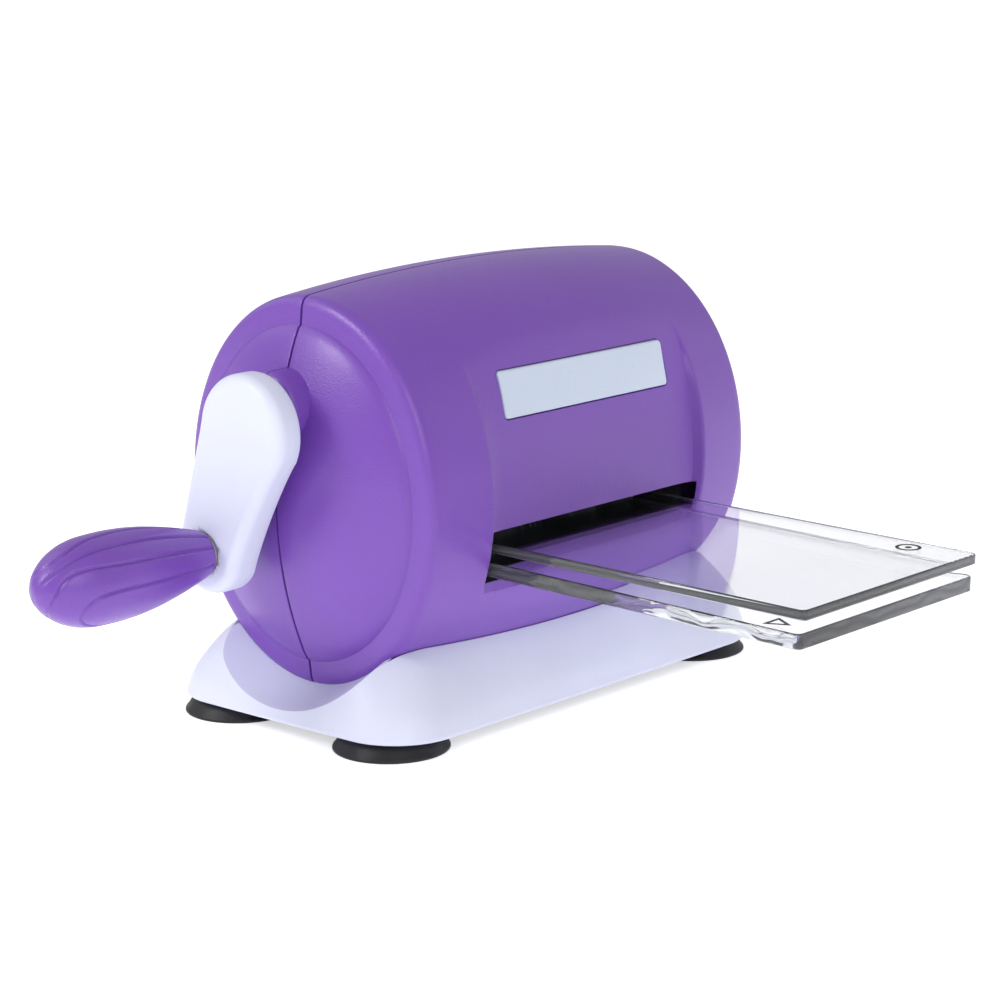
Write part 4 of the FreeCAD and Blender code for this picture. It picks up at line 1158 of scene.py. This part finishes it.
def nearest_on_spine(point):
    """Nearest point of the line between the centres of the arm's two ends."""
    (by, bz, _), (sy, sz, _) = ARM_BIG_END, ARM_SMALL_END
    dy, dz = sy - by, sz - bz
    t = ((point[0] - by) * dy + (point[1] - bz) * dz) / (dy * dy + dz * dz)
    t = min(1.0, max(0.0, t))
    return by + dy * t, bz + dz * t


class DIECUTTER_OT_arm(Operator):
    """White crank arm with a soft rounded face"""
    bl_idname = "diecutter.arm"
    bl_label = "Crank arm"

    def execute(self, context):
        outline = arm_outline()
        rounding = settings("crank").arm_round
        levels = [(ARM_BACK_X - out, inset) for out, inset in ARM_BACK_EDGE]
        for step in range(13):
            a = math.pi / 2 * step / 12
            levels.append((ARM_FACE_X + rounding * (1 - math.sin(a)), rounding * (1 - math.cos(a))))
        rings = [[(x - self.flare(x, z), y, z) for y, z in inset_outline(outline, inset)]
                 for x, inset in levels]
        face = inset_outline(outline, rounding)
        for t in (0.12, 0.3, 0.5, 0.7, 0.88):
            crown = ARM_CROWN * (1 - (1 - t) ** 2)
            ring = []
            for point in face:
                spine = nearest_on_spine(point)
                y, z = (point[i] + (spine[i] - point[i]) * t for i in (0, 1))
                ring.append((ARM_FACE_X - crown - self.flare(ARM_FACE_X, z), y, z))
            rings.append(ring)
        points, faces = ring_stack(rings)
        piece = make_piece("crank_arm_body", points, faces, white_plastic(), "crank",
                           ("crank_arm",), 50.0)
        pocket = [(POCKET_MOUTH_X, 0.001), (POCKET_MOUTH_X, POCKET_RADIUS), (POCKET_FLOOR_X, POCKET_RADIUS),
                  (POCKET_FLOOR_X, 0.001)]
        cut_with(piece, *turned_x(pocket, GRIP_Y, GRIP_Z, 64))
        return {"FINISHED"}

    def flare(self, x, z):
        """How much further out a place of the arm stands than a flat arm would."""
        down = (ARM_BIG_END[1] - z) / (ARM_BIG_END[1] - ARM_SMALL_END[1])
        outward = (ARM_BACK_X - x) / (ARM_BACK_X - ARM_FACE_X)
        return ARM_FLARE * min(1.0, max(0.0, down)) * min(1.0, max(0.0, outward))


# the grip's outline: distance from the arm's face and radius
GRIP_START_X = -90.3
GRIP_OUTLINE = ((0.0, 6.1), (5.0, 7.45), (10.5, 8.8), (20.0, 10.6), (26.0, 11.3), (32.0, 11.6), (37.0, 11.55),
                (41.0, 11.4), (45.0, 10.7), (49.0, 9.2), (52.0, 7.45), (54.2, 5.65), (55.8, 3.8), (56.8, 1.8))
GRIP_LENGTH = 57.1
GRIP_STRETCH = 0.955
# the rounded neck in front of the outline, and where it ends
GRIP_NECK = ((0.25, 3.2), (0.05, 4.6), (0.0, 5.3), (0.08, 5.75), (0.35, 6.05))
NECK_END = 0.6
GRIP_PARTING = 35.0
# moulded loops on each half: distance along the grip and angle either side of the half's middle
GRIP_OUTER_LOOP = ((-2.0, 60.0), (5.0, 61.0), (20.0, 61.0), (32.0, 62.5), (40.0, 64.5), (45.5, 68.0),
                   (50.0, 71.5), (52.5, 66.0), (54.2, 50.0), (54.9, 22.0), (55.0, 0.0))
GRIP_INNER_LOOP = ((-2.0, 17.0), (5.0, 22.0), (16.0, 28.5), (25.0, 30.5), (34.0, 32.0), (41.0, 32.0),
                   (45.0, 28.0), (47.4, 19.0), (48.3, 8.0), (48.4, 0.0))


def grip_radius(along):
    """Radius of the grip at a distance along it."""
    if along >= GRIP_LENGTH:
        return 0.0
    knots = GRIP_OUTLINE + ((GRIP_LENGTH, 0.0),)
    xs = [k[0] for k in knots]
    ys = [k[1] ** 2 for k in knots]
    return math.sqrt(max(0.0, float(np.interp(along, xs, ys))))


def smooth_profile():
    """Finely divided and smoothed outline of the grip as (distance, radius)."""
    along = [GRIP_LENGTH * math.sin(math.pi / 2 * i / 240) for i in range(241)]
    radius = np.array([grip_radius(a) for a in along])
    for _ in range(24):
        radius[1:-1] = 0.25 * radius[:-2] + 0.5 * radius[1:-1] + 0.25 * radius[2:]
    return along, radius


def smooth_loop(loop):
    """A moulded loop on both sides of a half's middle, as one smooth curve of (distance, angle)."""
    knots = [(d, -offset) for d, offset in loop] + [(d, offset) for d, offset in reversed(loop[:-1])]
    line = []
    for start, end in zip(knots, knots[1:]):
        line += [(start[0] + (end[0] - start[0]) * step / 40, start[1] + (end[1] - start[1]) * step / 40)
                 for step in range(40)]
    curve = np.array(line + [knots[-1]])
    for _ in range(900):
        curve[1:-1] = 0.25 * curve[:-2] + 0.5 * curve[1:-1] + 0.25 * curve[2:]
    return curve


def groove_tree(along, radius):
    """All moulded lines of the grip as a search tree of points on its surface."""
    places = []
    for half in (0, 1):
        middle = GRIP_PARTING + 90.0 + 180.0 * half
        for loop in (GRIP_OUTER_LOOP, GRIP_INNER_LOOP):
            places += [(d, math.radians(middle + offset)) for d, offset in smooth_loop(loop)]
        edge = math.radians(GRIP_PARTING + 180.0 * half)
        places += [(GRIP_LENGTH * step / 400, edge) for step in range(401)]
    tree = kdtree.KDTree(len(places))
    for index, (d, a) in enumerate(places):
        r = float(np.interp(max(d, 0.0), along, radius))
        tree.insert((d, r * math.sin(a), r * math.cos(a)), index)
    tree.balance()
    return tree


class DIECUTTER_OT_grip(Operator):
    """Two halves of the egg-shaped grip with their moulded lines"""
    bl_idname = "diecutter.grip"
    bl_label = "Grip"

    def execute(self, context):
        along, radius = smooth_profile()
        tree = groove_tree(along, radius)
        for name, half, node in (("grip_front_shell", 0, "grip_front_half"),
                                 ("grip_rear_shell", 1, "grip_rear_half")):
            self.shell(name, half, node, along, radius, tree)
        return {"FINISHED"}

    def shell(self, name, half, node, along, radius, tree):
        """One half of the grip, sunk where the moulded lines run."""
        crank = settings("crank")
        steps = 210
        start = math.radians(GRIP_PARTING + 180.0 * half)
        points = []
        for d, r in self.with_neck(along, radius):
            for step in range(steps + 1):
                a = start + math.pi * step / steps
                on_skin = (d, r * math.sin(a), r * math.cos(a))
                gap = tree.find(on_skin)[2]
                depth = crank.groove_depth * math.exp(-(gap / crank.groove_width) ** 2)
                sink = depth if d > NECK_END else 0.0
                deep = max(0.0, r - sink * min(1.0, r / 2.0))
                points.append((GRIP_START_X - d * GRIP_STRETCH, GRIP_Y - deep * math.sin(a),
                               GRIP_Z + deep * math.cos(a)))
        rows = len(points) // (steps + 1)
        make_piece(name, points, grid_faces(rows, steps + 1), shell_plastic(), "grip",
                   (node,), 60.0)

    def with_neck(self, along, radius):
        """The outline with a rounded neck that turns in to the axle."""
        return list(GRIP_NECK) + [(d, r) for d, r in zip(along, radius) if d > NECK_END]


# middle of the gap between the rollers, and the height of both plates with the die between them
NIP_Z = 48.225
SANDWICH = 8.15
PLATE_FRONT_Y = -140.2
PLATE_HALF_WIDTH = 38.0
PLATE_HALF_LENGTH = 76.0
UPPER_THICK, LOWER_THICK = 2.7, 4.0
UPPER_TILT, LOWER_TILT = math.radians(1.07), math.radians(1.6)
LOWER_SHIFT = -2.0
INK_HEIGHT = 0.06
INK_LIFT = 0.02


def plate_skin(thick, tilt, underside, side_shift, front_y):
    """One clear plate, tilted about the line where it passes between the rollers."""
    plates = settings("plates")
    edge = plates.edge_break
    outline = rounded_rectangle(PLATE_HALF_WIDTH, PLATE_HALF_LENGTH, plates.corner, 10)
    rings = []
    for z, inset in ((0.0, edge), (edge * 0.3, edge * 0.3), (edge, 0.0), (thick - edge, 0.0),
                     (thick - edge * 0.3, edge * 0.3), (thick, edge)):
        ring = []
        for x, y in inset_outline(outline, inset):
            y += front_y + PLATE_HALF_LENGTH
            ring.append((x + side_shift, y * math.cos(tilt) - z * math.sin(tilt),
                         underside + y * math.sin(tilt) + z * math.cos(tilt)))
        rings.append(ring)
    return ring_stack(rings)


def printed_mark(outlines, x, y, tilt, top):
    """Thin raised ink: each outline is a pair of closed lines, an outer and an inner one."""
    parts = []
    for outer, inner in outlines:
        rings = []
        for line, z in ((outer, 0.0), (outer, INK_HEIGHT), (inner, INK_HEIGHT), (inner, 0.0)):
            rings.append([(x + u, (y + v) * math.cos(tilt), top + (y + v) * math.sin(tilt) + z)
                          for u, v in line])
        parts.append(ring_stack(rings, cap_start=False, cap_end=False))
    return merged(parts)


def regular_outline(radius, sides, turn=0.0):
    """Corners of a regular polygon."""
    return [(radius * math.cos(turn + TAU * i / sides), radius * math.sin(turn + TAU * i / sides))
            for i in range(sides)]


class DIECUTTER_OT_plates(Operator):
    """Two clear cutting plates with polished edges and plain marks"""
    bl_idname = "diecutter.plates"
    bl_label = "Cutting plates"

    def execute(self, context):
        upper_z, lower_z = NIP_Z + SANDWICH / 2 - UPPER_THICK, NIP_Z - SANDWICH / 2
        for name, body, thick, tilt, low, shift, node, waves in (
                ("upper_clear_plate", "upper_plate_set", UPPER_THICK, UPPER_TILT, upper_z, 0.0, "upper_plate",
                 ("smooth_clear_edge", 210.0, 1.2, 0.12)),
                ("lower_clear_plate", "lower_plate_set", LOWER_THICK, LOWER_TILT, lower_z, LOWER_SHIFT,
                 "lower_plate", ("wavy_clear_edge", 110.0, 7.0, 0.9))):
            points, faces = plate_skin(thick, tilt, low, shift, PLATE_FRONT_Y)
            # each edge finish paints light and dark reflection streaks into the plate edge's colour
            finishes = (clear_acrylic(), edge_acrylic_with_painted_streaks(*waves))
            piece = make_piece(name, points, faces, finishes, body, (node,), 12.0)
            for face in piece.data.polygons:
                face.material_index = 1 if abs(face.normal.z) < 0.5 else 0
        ring = [(regular_outline(3.4, 40), regular_outline(2.5, 40)),
                (regular_outline(0.9, 40), regular_outline(0.05, 40))]
        wedge = [(regular_outline(4.0, 3, math.pi / 6), regular_outline(2.3, 3, math.pi / 6))]
        for name, mark, x, y, tilt, top, body in (
                ("upper_plate_mark", ring, 31.0, -123.5, UPPER_TILT, upper_z + UPPER_THICK, "upper_plate_set"),
                ("lower_plate_mark", wedge, -34.5, -130.0, LOWER_TILT, lower_z + LOWER_THICK,
                 "lower_plate_set")):
            points, faces = printed_mark(mark, x, y, tilt, top + INK_LIFT)
            make_piece(name, points, faces, mark_ink(), body)
        return {"FINISHED"}


# a pan head's section: whether the row belongs to the cross recess, and shares of its radius and height
HEAD_SECTION = ((False, 0.98, 0.0), (False, 1.0, 0.12), (False, 1.0, 0.45), (False, 0.93, 0.72),
                (False, 0.78, 0.9), (False, 0.6, 1.0), (True, 0.56, 1.0), (True, 0.5, 0.93), (True, 0.34, 0.35))


def cross_head(radius, height):
    """Pan head of a cross-recessed screw about +Z with its seat at z = 0, as a list of rings."""
    steps = 40
    rings = []
    for is_cross, across, up in HEAD_SECTION:
        ring = []
        for i in range(steps):
            a = TAU * i / steps
            lobe = 0.42 + 0.58 * abs(math.cos(2 * a)) ** 6 if is_cross else 1.0
            r = radius * across * lobe
            ring.append((r * math.cos(a), r * math.sin(a), height * up))
        rings.append(ring)
    return ring_stack(rings)


def screw_set(places, radius, height, direction):
    """Like screws at several places, all facing one way: 'down' or 'back'."""
    points, faces = cross_head(radius, height)
    parts = []
    for x, y, z in places:
        if direction == "down":
            parts.append(([(x + a, y - b, z - c) for a, b, c in points], faces))
        else:
            parts.append(([(x + a, y + c, z - b) for a, b, c in points], faces))
    return merged(parts)


def screw_wells():
    """Moulded tubes inside the rear housing, from each screw hole to the parting plane."""
    parts = []
    for x, z in SCREW_PLACES:
        radius = barrel_radius(x - BARREL_X)
        squash = barrel_squash(x - BARREL_X)
        rings = []
        for size, y in ((WELL_OUTSIDE, 1.0), (WELL_OUTSIDE, None), (WELL_RADIUS, None),
                        (WELL_RADIUS, SCREW_HEAD_Y), (SHANK_RADIUS, SCREW_HEAD_Y)):
            ring = []
            for step in range(40):
                a = TAU * step / 40
                height = z + size * math.sin(a)
                skin = squash * math.sqrt(max(0.0, radius ** 2 - (height - BARREL_Z) ** 2)) - 1.2
                ring.append((x + size * math.cos(a), skin if y is None else y, height))
            rings.append(ring)
        parts.append(ring_stack(rings, cap_start=False, cap_end=False))
    return merged(parts)


class DIECUTTER_OT_screws(Operator):
    """Cross-head screws in the rear housing and under the base"""
    bl_idname = "diecutter.screws"
    bl_label = "Screws"

    def execute(self, context):
        steel = metal("screw_steel", 0.75, 0.34)
        back = [(x, SCREW_HEAD_Y, z) for x, z in SCREW_PLACES]
        points, faces = screw_wells()
        make_piece("screw_wells", points, faces, shell_plastic(), "casing")
        points, faces = screw_set(back, 2.9, 2.2, "back")
        make_piece("housing_screw_heads", points, faces, steel, "casing", ("housing_screws",))
        under = [(sx * 44.0, sy * 31.0, 4.5) for sx in (-1, 1) for sy in (-1, 1)]
        points, faces = screw_set(under, 3.0, 1.6, "down")
        make_piece("cover_screw_heads", points, faces, steel, "casing", ("base_cover_screws",))
        return {"FINISHED"}


class DIECUTTER_OT_mechanism(Operator):
    """Finishes of the parts inside: frames, rollers, gears, bushes and shaft"""
    bl_idname = "diecutter.mechanism"
    bl_label = "Mechanism"

    def execute(self, context):
        finishes = {
            "frame_steel": metal("frame_steel", 0.85, 0.42),
            "bright_steel": metal("bright_steel", 1.1, 0.24),
            "screw_steel": metal("screw_steel", 0.75, 0.34),
            "bush_plastic": nylon("bush_plastic"),
            "gear_plastic": nylon("gear_plastic"),
            "dark_plastic": dark_plastic(),
        }
        slots = {item["node"]: item["material_slot"] for item in frame["record"]["subparts"]}
        for name, node in frame["nodes"].items():
            finish = finishes.get(slots.get(name))
            if finish is None or node.hide_render:
                continue
            for slot in node.material_slots:
                slot.material = finish
        return {"FINISHED"}


class DIECUTTER_PT_machine(Panel):
    """Sidebar panel with the machine's settings and steps"""
    bl_idname = "DIECUTTER_PT_machine"
    bl_label = "Die Cutting Machine"
    bl_space_type = "VIEW_3D"
    bl_region_type = "UI"
    bl_category = "Die Cutter"

    def draw(self, context):
        for name, group in GROUPS.items():
            box = self.layout.box()
            box.label(text=group.__doc__)
            for key in group.__annotations__:
                box.prop(getattr(context.scene, "diecutter_" + name), key)
        column = self.layout.column(align=True)
        for step in STEPS:
            column.operator(step.bl_idname)


CLASSES = [DieCutterHousing, DieCutterBase, DieCutterCrank, DieCutterPlates, DieCutterFinish, DieCutterStage]
GROUPS = {"housing": DieCutterHousing, "base": DieCutterBase, "crank": DieCutterCrank,
          "plates": DieCutterPlates, "finish": DieCutterFinish, "stage": DieCutterStage}
STEPS = [DIECUTTER_OT_stage, DIECUTTER_OT_housing, DIECUTTER_OT_label, DIECUTTER_OT_liners, DIECUTTER_OT_base,
         DIECUTTER_OT_feet, DIECUTTER_OT_collar, DIECUTTER_OT_arm, DIECUTTER_OT_grip, DIECUTTER_OT_plates,
         DIECUTTER_OT_screws, DIECUTTER_OT_mechanism]


def register():
    for item in CLASSES + STEPS + [DIECUTTER_PT_machine]:
        bpy.utils.register_class(item)
    for name, group in GROUPS.items():
        setattr(bpy.types.Scene, "diecutter_" + name, PointerProperty(type=group))


def unregister():
    for name in GROUPS:
        delattr(bpy.types.Scene, "diecutter_" + name)
    for item in reversed(CLASSES + STEPS + [DIECUTTER_PT_machine]):
        bpy.utils.unregister_class(item)


def main():
    register()
    for step in STEPS:
        module, name = step.bl_idname.split(".")
        getattr(getattr(bpy.ops, module), name)()


if __name__ == "__main__":
    main()
